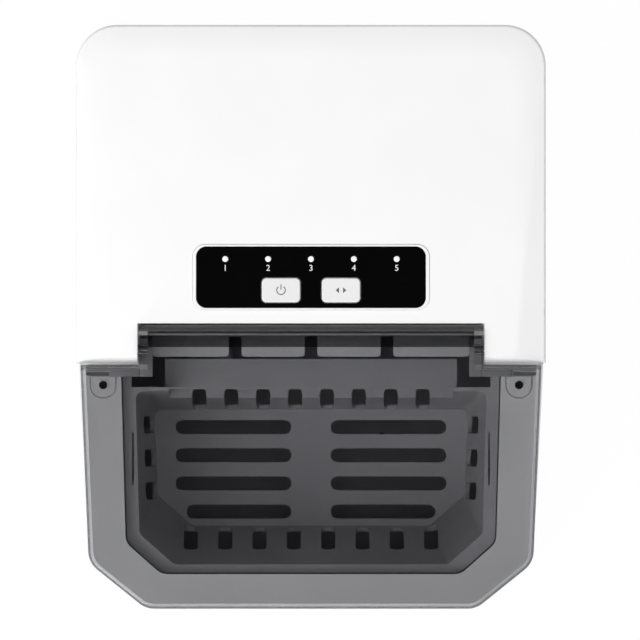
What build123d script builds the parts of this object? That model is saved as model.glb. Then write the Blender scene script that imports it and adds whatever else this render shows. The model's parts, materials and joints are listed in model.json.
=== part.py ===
import os
from math import atan2, cos, hypot, sin, sqrt

from build123d import *

# Sizes in millimetres. +X is right, +Y is the rear, +Z is up.
# The origin is on the table under the middle of the machine.

# Whole machine
machine_width = 230.0
machine_depth = 286.0
machine_height = 298.0
wall = 2.5
touch_gap = 0.3          # between pieces that move past each other
pin_gap = 0.05           # around shafts and pins that turn
seat_gap = 0.02          # around pins and plugs that stay put

# Plan of the body
cover_overhang = 1.0
rear_corner_radius = 20.0
front_corner_radius = 12.0
side_taper = 5.1
front_chamfer_width = 28.0
front_chamfer_depth = 22.5

# Heights
foot_height = 8.0
pan_thickness = 3.0
pan_rim_height = 9.0
pan_rim_thickness = 2.0
deck_thickness = 3.0

# Lid
lid_height = 24.7
lid_depth = 119.6
lid_side_setback = 1.0
lid_edge_radius = 2.0
lid_open_gap = 0.8
bridge_side_margin = 30.5    # machine's side to the bridge
bridge_depth = 19.4
bridge_cheek = 4.5
bridge_side_gap = 0.5
barrel_radius = 12.0
hinge_drop = 8.0
hinge_pin_radius = 2.5
hinge_pin_depth = 11.0
hinge_boss_wall = 2.25
cheek_drop = 7.0

# Top cover
lid_step = 2.0
cover_slope_drop = 3.0
cover_border = 16.0
cover_flat_radius = 13.0
cover_edge_radius = 1.6

# Control panel
panel_rear_offset = 22.6     # from the notch to the middle of the panel
bezel_side = 1.8             # frame beside the plate
bezel_end = 1.0              # frame ahead of and behind the plate
bezel_rise = 0.4
overlay_width = 112.4
overlay_depth = 30.0
overlay_radius = 5.0
overlay_thickness = 1.9
pocket_depth = 2.0
pocket_lip = 2.2
panel_fit = 0.1
button_width = 18.8
button_depth = 11.9
button_radius = 2.3
button_pitch = 29.4
button_setback = 6.4         # buttons in front of the panel's middle
button_rise = 1.0
button_travel = 0.8
button_side_gap = 0.4
button_flange = 0.7
button_flange_thickness = 1.0
lamp_count = 5
lamp_pitch = 21.0
lamp_setback = 8.9           # lamps behind the panel's middle
lamp_radius = 1.55
lamp_rise = 0.1
board_overhang = 6.8         # board beyond the plate at each end
board_depth = 29.0
board_thickness = 1.6
switch_size = 6.0
switch_height = 3.5
plunger_radius = 1.75
plunger_height = 1.5
board_screw_radius = 1.5
board_screw_head = 3.0
board_screw_head_height = 2.0
board_screw_depth = 6.0
board_boss_wall = 2.0
board_boss_inset = 5.0

# Tank and deck
tank_front_margin = 16.8     # front of the machine to the front of the opening
tank_side_margin = 21.7      # machine's side to the opening
tank_front_taper = 2.4
tank_chamfer_width = 17.5
tank_chamfer_depth = 15.5
tank_corner_radius = 8.0
tank_depth = 152.0
chamber_step = 9.3           # chamber in from the opening's side
chamber_length = 76.0
chamber_depth = 64.0
reservoir_gap = 18.9         # deep part of the tank to the compressor
flange_thickness = 2.5
flange_length = 84.0
deck_slot_length = 11.6
deck_slot_width = 1.9
deck_slot_margin = 10.4
deck_slot_setback = 4.5
pad_half_width = 6.1
pad_margin = 13.0
pad_length = 10.3
pad_rise = 0.8
pad_setback = 5.9
pad_groove_width = 0.5
pad_groove_depth = 1.5
deck_screw_radius = 1.6
deck_screw_head = 2.0
deck_screw_head_height = 1.4

# Basket
basket_rim_drop = 7.0        # rim below the deck's top
basket_height = 70.0
basket_wall = 2.0
basket_rear_gap = 11.1       # lid's rear edge to the basket's rear wall
basket_side_gap = 5.2
basket_taper = 1.9
basket_front_gap = 2.7
basket_chamfer_width = 17.0
basket_chamfer_depth = 15.0
basket_corner_radius = 4.0
basket_side_draw = 9.0
basket_front_draw = 19.0
basket_rear_draw = 9.5
tongue_margin = 16.3         # rim's side to the tongue
tongue_length = 13.8
tongue_drop = 24.0
tongue_thickness = 2.0
slot_width = 6.9
floor_slot_margin = 12.35    # floor's side to its slots
front_row_margin = 5.4       # further in at the front row
floor_web = 19.5
floor_rows = 4
floor_row_pitch = 13.9
floor_row_margin = 10.4      # rear wall's foot to the first row
rear_slot_pitch = 15.7
front_slot_pitch = 16.9
side_slot_count = 3
side_slot_pitch = 16.3
side_slot_width = 8.5
wall_slot_low = 5.0
wall_slot_high = 44.0
lip_gap = 0.55               # rim's lip to the tank's wall
lip_thickness = 1.6
lip_wing = 6.5               # lip goes on past the rear wall at each side
ear_width = 2.8
ear_length = 45.0
ear_height = 4.0
ear_setback = 12.5
ear_slot_length = 26.0
ear_slot_width = 0.8
ear_slot_inset = 0.7         # from the wall's outer side to the slot's middle
lug_width = 10.0
lug_height = 6.0
lug_reach = 18.0
lug_pitch = 35.0
lug_setback = 36.6

# Ice tray, evaporator and shovel
tray_axis_setback = 43.4     # behind the lid's rear edge
tray_axis_drop = 27.0        # below the deck's top
tray_inner_radius = 26.0
tray_wall = 2.0
tray_end_gap = 8.0
tray_hub_radius = 6.0
tray_shaft_radius = 3.0
tray_side_gap = 0.5
bush_wall = 3.0
bush_flange = 3.0
bush_flange_thickness = 2.0
tray_motor_thickness = 20.0
tray_motor_width = 24.0
tray_motor_height = 38.0
header_radius = 5.0
header_rise = 16.0
header_margin = 4.0          # tray's end to the header's end
finger_margin = 7.0          # least from the header's end to a finger
finger_pitch = 16.0
finger_radius = 4.0
finger_drop = 18.0
riser_radius = 3.2
riser_margin = 14.0          # chamber's side to the riser
riser_bend = 9.0
riser_rise = 12.0            # top run above the deck
riser_run = 48.0
riser_end_rise = 63.0        # riser's end above the compressor
bracket_width = 16.0
bracket_thickness = 2.0
bracket_rise = 4.0
bracket_foot = 14.0
bracket_hole_gap = 0.8
hanger_pitch = 48.0
hanger_width = 7.0
shovel_axis_setback = 16.9
shovel_axis_drop = 9.0
shovel_shaft_radius = 3.0
shovel_reach_forward = 12.7
shovel_reach_down = 18.0
shovel_sag = 2.8             # hollow of a blade behind its straight line
shovel_thickness = 2.0
shovel_side_gap = 6.0
shovel_gap = 6.2
shovel_inner_edge = 37.3     # middle of the outer gaps
shovel_corner_radius = 2.0

# Water circuit
spout_radius = 3.4
spout_forward = 18.0         # ahead of the tray's axis
spout_rise = 12.0
spout_reach = 18.0
spout_nipple = 8.5
spout_flange_radius = 5.5
spout_flange_thickness = 2.0
pump_drain_offset = 37.0     # drain to the pump's middle
pump_setback = 36.6
pump_radius = 18.0
pump_length = 50.0
pump_axis_height = 29.0      # above the pan
pump_nipple = 8.0
pump_inlet_length = 10.0
pump_bracket_width = 30.0
pump_bracket_length = 30.0
hose_wall = 1.6
hose_margin = 12.8           # machine's side to the rising hose
hose_bend = 12.0
inlet_bore = 4.0
tank_nipple_length = 8.0
outlet_flange_radius = 8.0
outlet_flange_thickness = 2.0
hose_grip = 6.0
stem_side_margin = 34.0      # chamber's side to the stem
stem_rear_margin = 30.6      # reservoir's rear wall to the stem
stem_radius = 3.0
stem_end_gap = 0.7
stem_foot_radius = 8.0
stem_foot_height = 2.0
stem_cap_radius = 6.0
stem_cap_height = 2.0
float_radius = 11.0
float_height = 14.0
float_travel = 28.0
sensor_radius = 4.0
sensor_setback = 14.0
sensor_drop = 30.0
sensor_length = 12.0
sensor_flange_radius = 6.0
sensor_flange_thickness = 2.0
drain_setback = 62.6
drain_margin = 43.0          # machine's side to the drain's drop
drain_pipe_radius = 8.5
drain_bore = 6.0
drain_drop = 9.5
drain_cap_radius = 10.0
drain_cap_thickness = 3.8
drain_cap_inset = 0.4
drain_shank_length = 10.0
drain_hole_gap = 1.5
drain_rib_count = 12
drain_rib_radius = 0.8
foam_gap = 3.0
foam_bottom_rise = 4.0
foam_top_drop = 6.0
foam_right_margin = 55.0

# Rear panel, vents and inlet
rear_panel_thickness = 2.0
rear_panel_margin = 27.0
rear_panel_rise = 11.0       # above the shell's lower edge
rear_panel_drop = 24.0       # below the shell's upper edge
rear_window_margin = 6.0
panel_screw_radius = 1.6
panel_screw_head = 3.0
panel_screw_head_height = 1.1
panel_screw_inset = 3.0
louvre_width = 3.5
louvre_length = 60.0
louvre_pitch = 9.0
louvre_rows = 13
louvre_columns = 2
louvre_column_pitch = 76.0
louvre_rise = 98.0           # middle of the louvres above the panel's lower edge
side_vent_length = 60.0
side_vent_count = 10
side_vent_pitch = 7.0
side_vent_margin = 51.0      # machine's rear to the vents' middle
side_vent_rise = 109.0       # above the shell's lower edge
gland_margin = 22.0          # panel's side to the gland
gland_rise = 20.0            # above the panel's lower edge
gland_radius = 9.0
gland_bore = 4.0
gland_collar = 12.5
gland_collar_thickness = 3.0
gland_inner_length = 9.0
gland_recess = 0.5

# Feet
foot_radius = 12.0
foot_tip_radius = 10.0
foot_stem_radius = 4.0
foot_barb_radius = 5.2
foot_barb_height = 2.0
foot_side_margin = 21.0
foot_front_margin = 39.0
foot_rear_margin = 19.0

# Cooling circuit
compressor_side_margin = 63.0
compressor_rear_margin = 67.0
compressor_radius = 44.0
compressor_height = 126.0
compressor_dome = 20.0
compressor_plate_width = 96.0
compressor_plate_depth = 84.0
compressor_plate_thickness = 3.0
grommet_height = 12.0
grommet_radius = 9.0
mount_inset = 9.0
bolt_radius = 3.0
bolt_head_radius = 6.0
bolt_head_height = 5.0
bolt_gap = 0.1
fan_side_margin = 61.0
fan_rise = 89.0              # above the pan
fan_radius = 39.0
fan_hub_radius = 13.0
fan_hub_depth = 10.0
fan_blade_count = 5
fan_blade_width = 20.0
fan_blade_thickness = 1.6
fan_blade_pitch_deg = 30.0
fan_shaft_radius = 2.0
shroud_half = 48.0
shroud_thickness = 5.0
shroud_hole_radius = 42.0
shroud_ring_wall = 1.5
shroud_ring_depth = 9.0
shroud_rear_margin = 37.0    # machine's rear to the shroud's face
fan_motor_radius = 18.0
fan_motor_depth = 24.0
motor_bar_width = 14.0
motor_bar_thickness = 3.0
motor_post_width = 4.0
motor_standoff = 17.0
condenser_half_width = 33.0
condenser_height = 160.0
condenser_pipe_radius = 3.4
condenser_rows = 6
condenser_row_pitch = 20.0
condenser_end_reach = 9.0
condenser_bend = 9.5
fin_count = 15
fin_thickness = 0.8
fin_front_gap = 1.0
fin_bottom_rise = 30.0
end_plate_thickness = 1.5
pipe_radius = 3.0
pipe_bend = 10.0
pipe_bend_share = 0.9        # of a short drop that its bend takes up
discharge_offset = 14.0      # from the compressor's middle
discharge_rise = 26.0        # above the compressor
suction_offset_x = 10.0
suction_offset_y = 4.0
suction_rise = 34.0          # upper bend above the compressor
suction_slope_drop = 12.0
drier_rear_margin = 83.0
drier_radius = 9.0
drier_bottom = 58.0
drier_length = 70.0
drier_nipple = 8.0
liquid_rise = 13.0           # above the pan
capillary_radius = 1.2
capillary_bend = 6.0
capillary_rise = 48.0        # above the compressor
valve_offset = 8.0           # left of the fan's axis
valve_body_width = 24.0
valve_body_depth = 20.0
valve_body_height = 18.0
valve_coil_radius = 11.0
valve_coil_height = 22.0
valve_stub = 7.0
hot_gas_offset = 14.0        # beyond the riser
hot_gas_rise = 8.0
hot_gas_bend = 5.0
power_board_width = 80.0
power_board_height = 80.0
power_board_gap = 5.0        # under the chamber
power_board_standoff = 5.0
power_post_radius = 3.0
power_post_inset = 6.0
relay_count = 3
relay_pitch = 24.0
relay_width = 16.0
relay_height = 24.0
relay_rise = 16.0            # above the board's lower edge
cable_radius = 2.5
cable_bend = 12.0
cable_offset = 14.0          # left of the power board's middle
cable_chamber_gap = 13.4     # behind the chamber
cable_drop = 12.0            # under the chamber
cable_end_drop = 24.0        # below the power board's top

# Worked-out places
half_width = machine_width / 2
rear_y = machine_depth / 2
front_y = -rear_y
body_half = half_width - cover_overhang
body_rear_y = rear_y - rear_panel_thickness
front_half = body_half - side_taper
nose_half = front_half - front_chamfer_width
front_corner_y = front_y + front_chamfer_depth
lid_rear_y = front_y + lid_depth
arm_front_y = lid_rear_y + lid_open_gap
bridge_rear_y = lid_rear_y + bridge_depth
bridge_half_width = half_width - bridge_side_margin
notch_rear_y = bridge_rear_y + lid_open_gap
notch_half = bridge_half_width + bridge_side_gap
lid_half = body_half - lid_side_setback

shell_bottom = foot_height + pan_thickness
lid_bottom = machine_height - lid_height
deck_top = lid_bottom - touch_gap
shell_top = deck_top - deck_thickness
cover_top = machine_height - lid_step
cover_edge_z = cover_top - cover_slope_drop
cover_ceiling = cover_top - wall
hinge_y = bridge_rear_y - barrel_radius
hinge_z = machine_height - hinge_drop

panel_y = notch_rear_y + panel_rear_offset
bezel_width = overlay_width + 2 * bezel_side
bezel_depth = overlay_depth + 2 * bezel_end
bezel_radius = overlay_radius + bezel_end
board_width = overlay_width + 2 * board_overhang
pocket_floor = cover_top - pocket_depth
overlay_top = pocket_floor + overlay_thickness
button_y = panel_y - button_setback
lamp_y = panel_y + lamp_setback
button_top = overlay_top + button_rise
flange_top = pocket_floor - touch_gap
flange_bottom = flange_top - button_flange_thickness
stem_bottom = flange_bottom - button_flange_thickness
plunger_top = stem_bottom - button_travel - touch_gap
board_top = plunger_top - plunger_height - switch_height
board_bottom = board_top - board_thickness
board_boss_x = board_width / 2 - board_boss_inset
board_boss_y = board_depth / 2 - board_boss_inset

tank_front_y = front_y + tank_front_margin
tank_side_half = half_width - tank_side_margin
tank_front_half = tank_side_half - tank_front_taper
chamber_half = tank_side_half - chamber_step
tank_top = shell_top
tank_floor = tank_top - tank_depth
tank_under = tank_floor - wall
chamber_front_y = lid_rear_y
chamber_rear_y = chamber_front_y + chamber_length
chamber_floor = tank_top - chamber_depth
compressor_x = compressor_side_margin - half_width
compressor_y = rear_y - compressor_rear_margin
reservoir_rear_y = compressor_y - compressor_radius - reservoir_gap - wall
flange_rear_y = lid_rear_y + flange_length
deck_slot_x = half_width - deck_slot_margin
deck_slot_y = lid_rear_y - deck_slot_setback
pad_x = half_width - pad_margin
pad_rear_y = lid_rear_y - pad_setback
pad_screw_y = pad_rear_y - pad_length + pad_half_width

basket_rim_z = deck_top - basket_rim_drop
basket_floor_z = basket_rim_z - basket_height
basket_rear_y = lid_rear_y - basket_rear_gap
basket_front_y = tank_front_y + basket_front_gap
basket_rim_half = tank_side_half - basket_side_gap
basket_rim_front_half = basket_rim_half - basket_taper
tongue_half = basket_rim_half - tongue_margin
floor_slot_length = basket_rim_half - basket_side_draw - floor_web / 2 - floor_slot_margin
floor_slot_short = floor_slot_length - front_row_margin
rear_slot_count = int(2 * tongue_half / rear_slot_pitch) - 1
front_slot_count = int(2 * (basket_rim_front_half - basket_chamfer_width) / front_slot_pitch)
tongue_top = basket_rim_z - tongue_drop
tongue_rear_y = basket_rear_y + tongue_length

tray_y = lid_rear_y + tray_axis_setback
tray_z = deck_top - tray_axis_drop
tray_outer_radius = tray_inner_radius + tray_wall
tray_half_length = chamber_half - tray_end_gap
header_half_length = tray_half_length - header_margin
finger_count = 2 * int((header_half_length - finger_margin) / finger_pitch) + 1
compressor_plate_z = shell_bottom + grommet_height
compressor_top = compressor_plate_z + compressor_plate_thickness + compressor_height
riser_x = chamber_half - riser_margin
header_z = tray_z + header_rise
riser_top_z = deck_top + riser_rise
riser_rear_y = tray_y + riser_run
riser_end_z = compressor_top + riser_end_rise
shovel_y = lid_rear_y + shovel_axis_setback
shovel_z = deck_top - shovel_axis_drop
shovel_length = hypot(shovel_reach_forward, shovel_reach_down)
shovel_tip_y = shovel_y - shovel_reach_forward
shovel_tip_z = shovel_z - shovel_reach_down
shovel_half_width = chamber_half - shovel_side_gap
spout_y = tray_y - spout_forward
spout_z = tray_z + spout_rise
chamber_outer = chamber_half + wall

drain_x = half_width - drain_margin
pump_x = drain_x - pump_drain_offset
pump_y = lid_rear_y - pump_setback
pump_z = shell_bottom + pump_axis_height
hose_outer = spout_radius + hose_wall
hose_side_x = half_width - hose_margin
stem_x = stem_side_margin - chamber_half
stem_y = reservoir_rear_y - stem_rear_margin
stem_height = stem_foot_height + touch_gap + float_height + float_travel + stem_end_gap
drain_y = lid_rear_y - drain_setback
drain_z = tank_under - drain_drop
sensor_y = lid_rear_y - sensor_setback
sensor_z = deck_top - sensor_drop
fan_x = half_width - fan_side_margin
fan_z = shell_bottom + fan_rise
shroud_front_y = rear_y - shroud_rear_margin
shroud_rear_y = shroud_front_y + shroud_thickness
condenser_rear_y = body_rear_y - wall - pan_rim_thickness - 2 * touch_gap
condenser_y = (shroud_rear_y + condenser_rear_y) / 2
condenser_top_row = fan_z + condenser_row_pitch * (condenser_rows - 1) / 2
condenser_low_row = fan_z - condenser_row_pitch * (condenser_rows - 1) / 2
reservoir_outer_y = reservoir_rear_y + wall
rear_panel_half = half_width - rear_panel_margin
rear_panel_bottom = shell_bottom + rear_panel_rise
rear_panel_top = shell_top - rear_panel_drop
gland_x = gland_margin - rear_panel_half
gland_z = rear_panel_bottom + gland_rise


def block(x_from, x_to, y_from, y_to, z_from, z_to, mode=Mode.ADD):
    # a plain box between two corners
    middle = ((x_from + x_to) / 2, (y_from + y_to) / 2, (z_from + z_to) / 2)
    with Locations(middle):
        Box(x_to - x_from, y_to - y_from, z_to - z_from, mode=mode)


def rod(start, end, radius, mode=Mode.ADD):
    # a round bar from one point to another
    run = Vector(*end) - Vector(*start)
    with Locations(Plane(origin=start, z_dir=run)):
        Cylinder(radius, run.length, align=(Align.CENTER, Align.CENTER, Align.MIN), mode=mode)


def bent_tube(points, radius, bend, bore=0.0):
    # a tube along straight runs joined by round bends
    with BuildLine() as route:
        FilletPolyline(*points, radius=bend)
    with BuildSketch(Plane(origin=route.line @ 0, z_dir=route.line % 0)) as section:
        Circle(radius)
        if bore:
            Circle(bore, mode=Mode.SUBTRACT)
    sweep(sections=section.sketch, path=route.line)


def rounded_plan(points, radii, inset=0.0):
    # a closed outline with its own radius at each corner, drawn in by the inset
    with BuildSketch() as plan:
        with BuildLine():
            FilletPolyline(*points, radius=radii, close=True)
        make_face()
        if inset:
            offset(amount=-inset)
    return plan.sketch


def both_sides(points):
    # adds the left half of an outline that is given for the right half, from the rear forwards
    return points + [(-x, y) for x, y in reversed(points)]


def body_plan(inset=0.0):
    right = [
        (body_half, body_rear_y),
        (body_half, arm_front_y),
        (front_half, front_corner_y),
        (nose_half, front_y),
    ]
    radii = [rear_corner_radius, 0, front_corner_radius, front_corner_radius]
    return rounded_plan(both_sides(right), radii + radii[::-1], inset)


def lid_plan(inset=0.0):
    right = [
        (lid_half, lid_rear_y),
        (front_half, front_corner_y),
        (nose_half, front_y),
    ]
    radii = [0, front_corner_radius, front_corner_radius]
    return rounded_plan(both_sides(right), radii + radii[::-1], inset)


def cover_plan(side_inset, front_inset, radius):
    right = [
        (half_width - side_inset, rear_y - side_inset),
        (half_width - side_inset, arm_front_y + front_inset),
    ]
    return rounded_plan(both_sides(right), [radius, 0, 0, radius])


def tank_plan(grow=0.0):
    right = [
        (chamber_half, reservoir_rear_y),
        (chamber_half, chamber_front_y),
        (tank_side_half, chamber_front_y),
        (tank_front_half, tank_front_y + tank_chamfer_depth),
        (tank_front_half - tank_chamfer_width, tank_front_y),
    ]
    radii = [0, 0, 0, tank_corner_radius, tank_corner_radius]
    return rounded_plan(both_sides(right), radii + radii[::-1], -grow)


def basket_plan(share, inset=0.0):
    # the basket's section, from its floor at share 0 to its rim at share 1
    draw = 1.0 - share
    rear = basket_rear_y - basket_rear_draw * draw - inset
    front = basket_front_y + basket_front_draw * draw + inset
    rear_half = basket_rim_half - basket_side_draw * draw - inset
    front_side = basket_rim_front_half - basket_side_draw * draw - inset
    right = [
        (rear_half, rear),
        (front_side, front + basket_chamfer_depth),
        (front_side - basket_chamfer_width, front),
    ]
    return rounded_plan(both_sides(right), [basket_corner_radius] * 6)


def centred(count, pitch):
    # evenly spaced places about zero
    return [(i - (count - 1) / 2) * pitch for i in range(count)]


# Base pan: floor, upstand inside the shell and the holes for feet and compressor bolts
foot_x = half_width - foot_side_margin
foot_rows = (front_y + foot_front_margin, rear_y - foot_rear_margin)
foot_spots = [(x, y) for x in (-foot_x, foot_x) for y in foot_rows]
mount_x = compressor_plate_width / 2 - mount_inset
mount_y = compressor_plate_depth / 2 - mount_inset
mount_spots = [
    (compressor_x + i * mount_x, compressor_y + j * mount_y) for i in (-1, 1) for j in (-1, 1)
]

with BuildPart() as base_pan:
    with BuildSketch(Plane.XY.offset(foot_height)):
        add(body_plan())
    extrude(amount=pan_thickness)
    with BuildSketch(Plane.XY.offset(shell_bottom)):
        add(body_plan(wall + touch_gap))
        add(body_plan(wall + touch_gap + pan_rim_thickness), mode=Mode.SUBTRACT)
    extrude(amount=pan_rim_height)
    with BuildSketch(Plane.XY.offset(foot_height)):
        with Locations(*foot_spots):
            Circle(foot_stem_radius + pin_gap)
        with Locations(*mount_spots):
            Circle(bolt_radius + seat_gap)
    extrude(amount=pan_thickness, mode=Mode.SUBTRACT)
base_pan.part.label = "base_pan"

# Rubber feet: pad under the pan, stem through it and a barb above it
with BuildPart() as rubber_feet:
    for x, y in foot_spots:
        with Locations((x, y, 0)):
            Cone(
                foot_tip_radius,
                foot_radius,
                foot_height,
                align=(Align.CENTER, Align.CENTER, Align.MIN),
            )
        rod((x, y, foot_height), (x, y, shell_bottom), foot_stem_radius)
        rod((x, y, shell_bottom), (x, y, shell_bottom + foot_barb_height), foot_barb_radius)
rubber_feet.part.label = "rubber_feet"

# Body shell: one wrap of front, sides and rear, with a window behind and vents at the sides
rear_window_half = rear_panel_half - rear_window_margin
rear_window_bottom = rear_panel_bottom + rear_window_margin
rear_window_top = rear_panel_top - rear_window_margin
screw_rows = [
    rear_panel_bottom + panel_screw_inset,
    (rear_panel_bottom + rear_panel_top) / 2,
    rear_panel_top - panel_screw_inset,
]
screw_column = rear_panel_half - panel_screw_inset
panel_screw_spots = [(x, z) for x in (-screw_column, screw_column) for z in screw_rows]

with BuildPart() as body_shell:
    with BuildSketch(Plane.XY.offset(shell_bottom)):
        add(body_plan())
        add(body_plan(wall), mode=Mode.SUBTRACT)
    extrude(amount=shell_top - shell_bottom)
    block(
        -rear_window_half,
        rear_window_half,
        body_rear_y - 2 * wall,
        body_rear_y + wall,
        rear_window_bottom,
        rear_window_top,
        mode=Mode.SUBTRACT,
    )
    for x, z in panel_screw_spots:
        rod(
            (x, body_rear_y + wall, z),
            (x, body_rear_y - 2 * wall, z),
            panel_screw_radius + seat_gap,
            mode=Mode.SUBTRACT,
        )
    with BuildSketch(Plane.YZ.offset(-body_half - wall)):
        for shift in centred(side_vent_count, side_vent_pitch):
            with Locations((rear_y - side_vent_margin + shift, shell_bottom + side_vent_rise)):
                SlotOverall(side_vent_length, louvre_width, rotation=90)
    extrude(amount=2 * (body_half + wall), mode=Mode.SUBTRACT)
    rod(
        (chamber_half, drain_y, drain_z),
        (half_width + wall, drain_y, drain_z),
        drain_cap_radius + drain_hole_gap,
        mode=Mode.SUBTRACT,
    )
body_shell.part.label = "body_shell"

# Rear panel with two columns of louvres and the hole for the mains gland
with BuildPart() as rear_panel:
    with BuildSketch(Plane.XZ.offset(-rear_y)):
        with Locations((0, (rear_panel_bottom + rear_panel_top) / 2)):
            RectangleRounded(2 * rear_panel_half, rear_panel_top - rear_panel_bottom, wall)
        with Locations((0, rear_panel_bottom + louvre_rise)):
            with GridLocations(louvre_column_pitch, louvre_pitch, louvre_columns, louvre_rows):
                SlotOverall(louvre_length, louvre_width, mode=Mode.SUBTRACT)
        with Locations((gland_x, gland_z)):
            Circle(gland_radius + pin_gap, mode=Mode.SUBTRACT)
        with Locations(*panel_screw_spots):
            Circle(panel_screw_radius + seat_gap, mode=Mode.SUBTRACT)
    extrude(amount=rear_panel_thickness)
    for x, z in panel_screw_spots:
        rod(
            (x, rear_y + wall, z),
            (x, rear_y - panel_screw_head_height, z),
            panel_screw_head + pin_gap,
            mode=Mode.SUBTRACT,
        )
rear_panel.part.label = "rear_panel"

# Six screws sunk into the rear panel
with BuildPart() as rear_panel_screws:
    for x, z in panel_screw_spots:
        rod((x, rear_y, z), (x, rear_y - panel_screw_head_height, z), panel_screw_head)
        rod((x, rear_y, z), (x, body_rear_y - wall, z), panel_screw_radius)
rear_panel_screws.part.label = "rear_panel_screws"

# Gland for the mains lead: nose in the panel and a collar behind it
with BuildPart() as power_gland:
    rod(
        (gland_x, rear_y - gland_recess, gland_z),
        (gland_x, body_rear_y - gland_inner_length, gland_z),
        gland_radius,
    )
    rod(
        (gland_x, body_rear_y, gland_z),
        (gland_x, body_rear_y - gland_collar_thickness, gland_z),
        gland_collar,
    )
    rod(
        (gland_x, rear_y, gland_z),
        (gland_x, body_rear_y - 2 * gland_inner_length, gland_z),
        gland_bore,
        mode=Mode.SUBTRACT,
    )
power_gland.part.label = "power_gland"

# Top cover: hollow cap with a softly sloped border and a notch for the lid's bridge;
# the arms beside the notch are rounded about the hinge so that the lid swings past them
bezel_fit_width = bezel_width + 2 * panel_fit
bezel_fit_depth = bezel_depth + 2 * panel_fit
board_spots = [(i * board_boss_x, panel_y + j * board_boss_y) for i in (-1, 1) for j in (-1, 1)]

with BuildPart() as top_cover:
    with BuildSketch(Plane.XY.offset(shell_top)):
        add(cover_plan(0, 0, rear_corner_radius))
    extrude(amount=cover_edge_z - shell_top)
    with BuildSketch(Plane.XY.offset(cover_edge_z)):
        add(cover_plan(0, 0, rear_corner_radius))
    with BuildSketch(Plane.XY.offset(cover_top)):
        add(cover_plan(cover_border, 0, cover_flat_radius))
    loft(ruled=True)
    brow = top_cover.edges().filter_by_position(Axis.Z, cover_edge_z, cover_edge_z)
    fillet(brow.filter_by(lambda edge: edge.center().Y > arm_front_y + wall), radius=cover_edge_radius)
    with BuildSketch(Plane.XY.offset(shell_top)):
        add(cover_plan(wall, wall, rear_corner_radius - wall))
    extrude(amount=cover_edge_z - wall - shell_top, mode=Mode.SUBTRACT)
    with BuildSketch(Plane.XY.offset(cover_edge_z - wall)):
        add(cover_plan(wall, wall, rear_corner_radius - wall))
    with BuildSketch(Plane.XY.offset(cover_ceiling)):
        add(cover_plan(cover_border, wall, cover_flat_radius))
    loft(ruled=True, mode=Mode.SUBTRACT)
    block(
        -notch_half - wall,
        notch_half + wall,
        arm_front_y,
        notch_rear_y + wall,
        deck_top,
        cover_top,
    )
    for side in (-1, 1):
        rod(
            (side * notch_half, hinge_y, hinge_z),
            (side * (notch_half + hinge_pin_depth), hinge_y, hinge_z),
            hinge_pin_radius + hinge_boss_wall,
        )
    block(
        -notch_half,
        notch_half,
        arm_front_y - wall,
        notch_rear_y,
        shell_top,
        machine_height,
        mode=Mode.SUBTRACT,
    )
    block(
        -half_width + wall,
        half_width - wall,
        arm_front_y - wall,
        notch_rear_y + 2 * wall,
        shell_top,
        deck_top,
        mode=Mode.SUBTRACT,
    )
    with BuildSketch(Plane.YZ.offset(-half_width)):
        with Locations(((arm_front_y + hinge_y) / 2, (hinge_z + machine_height) / 2)):
            Rectangle(hinge_y - arm_front_y, machine_height - hinge_z)
        with Locations((hinge_y, hinge_z)):
            Circle(hinge_y - arm_front_y, mode=Mode.SUBTRACT)
    extrude(amount=machine_width, mode=Mode.SUBTRACT)
    for side in (-1, 1):
        rod(
            (side * (notch_half - wall), hinge_y, hinge_z),
            (side * (notch_half + hinge_pin_depth - wall), hinge_y, hinge_z),
            hinge_pin_radius + seat_gap,
            mode=Mode.SUBTRACT,
        )
    for x, y in board_spots:
        rod((x, y, board_top), (x, y, cover_ceiling + wall / 2), board_screw_radius + board_boss_wall)
        rod(
            (x, y, board_top),
            (x, y, board_top + board_screw_depth),
            board_screw_radius + seat_gap,
            mode=Mode.SUBTRACT,
        )
    with BuildSketch(Plane.XY.offset(pocket_floor)):
        with Locations((0, panel_y)):
            RectangleRounded(bezel_fit_width, bezel_fit_depth, bezel_radius + panel_fit)
    extrude(amount=machine_height - pocket_floor, mode=Mode.SUBTRACT)
    with BuildSketch(Plane.XY.offset(pocket_floor)):
        with Locations((0, panel_y)):
            RectangleRounded(
                overlay_width - 2 * pocket_lip,
                overlay_depth - pocket_lip,
                overlay_radius - pocket_lip,
            )
    extrude(amount=-2 * wall, mode=Mode.SUBTRACT)
top_cover.part.label = "top_cover"

# White frame around the control panel
with BuildPart() as panel_bezel:
    with BuildSketch(Plane.XY.offset(pocket_floor)):
        with Locations((0, panel_y)):
            RectangleRounded(bezel_width, bezel_depth, bezel_radius)
            RectangleRounded(
                overlay_width + 2 * panel_fit,
                overlay_depth + 2 * panel_fit,
                overlay_radius + panel_fit,
                mode=Mode.SUBTRACT,
            )
    extrude(amount=pocket_depth + bezel_rise)
panel_bezel.part.label = "panel_bezel"

# Black panel plate with holes for the lamps and the buttons
button_spots = [(-button_pitch / 2, button_y), (button_pitch / 2, button_y)]
lamp_spots = [(x, lamp_y) for x in centred(lamp_count, lamp_pitch)]

with BuildPart() as panel_overlay:
    with BuildSketch(Plane.XY.offset(pocket_floor)):
        with Locations((0, panel_y)):
            RectangleRounded(overlay_width, overlay_depth, overlay_radius)
        with Locations(*lamp_spots):
            Circle(lamp_radius + panel_fit, mode=Mode.SUBTRACT)
        with Locations(*button_spots):
            RectangleRounded(
                button_width + 2 * button_side_gap,
                button_depth + 2 * button_side_gap,
                button_radius + button_side_gap,
                mode=Mode.SUBTRACT,
            )
    extrude(amount=overlay_thickness)
panel_overlay.part.label = "panel_overlay"


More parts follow.
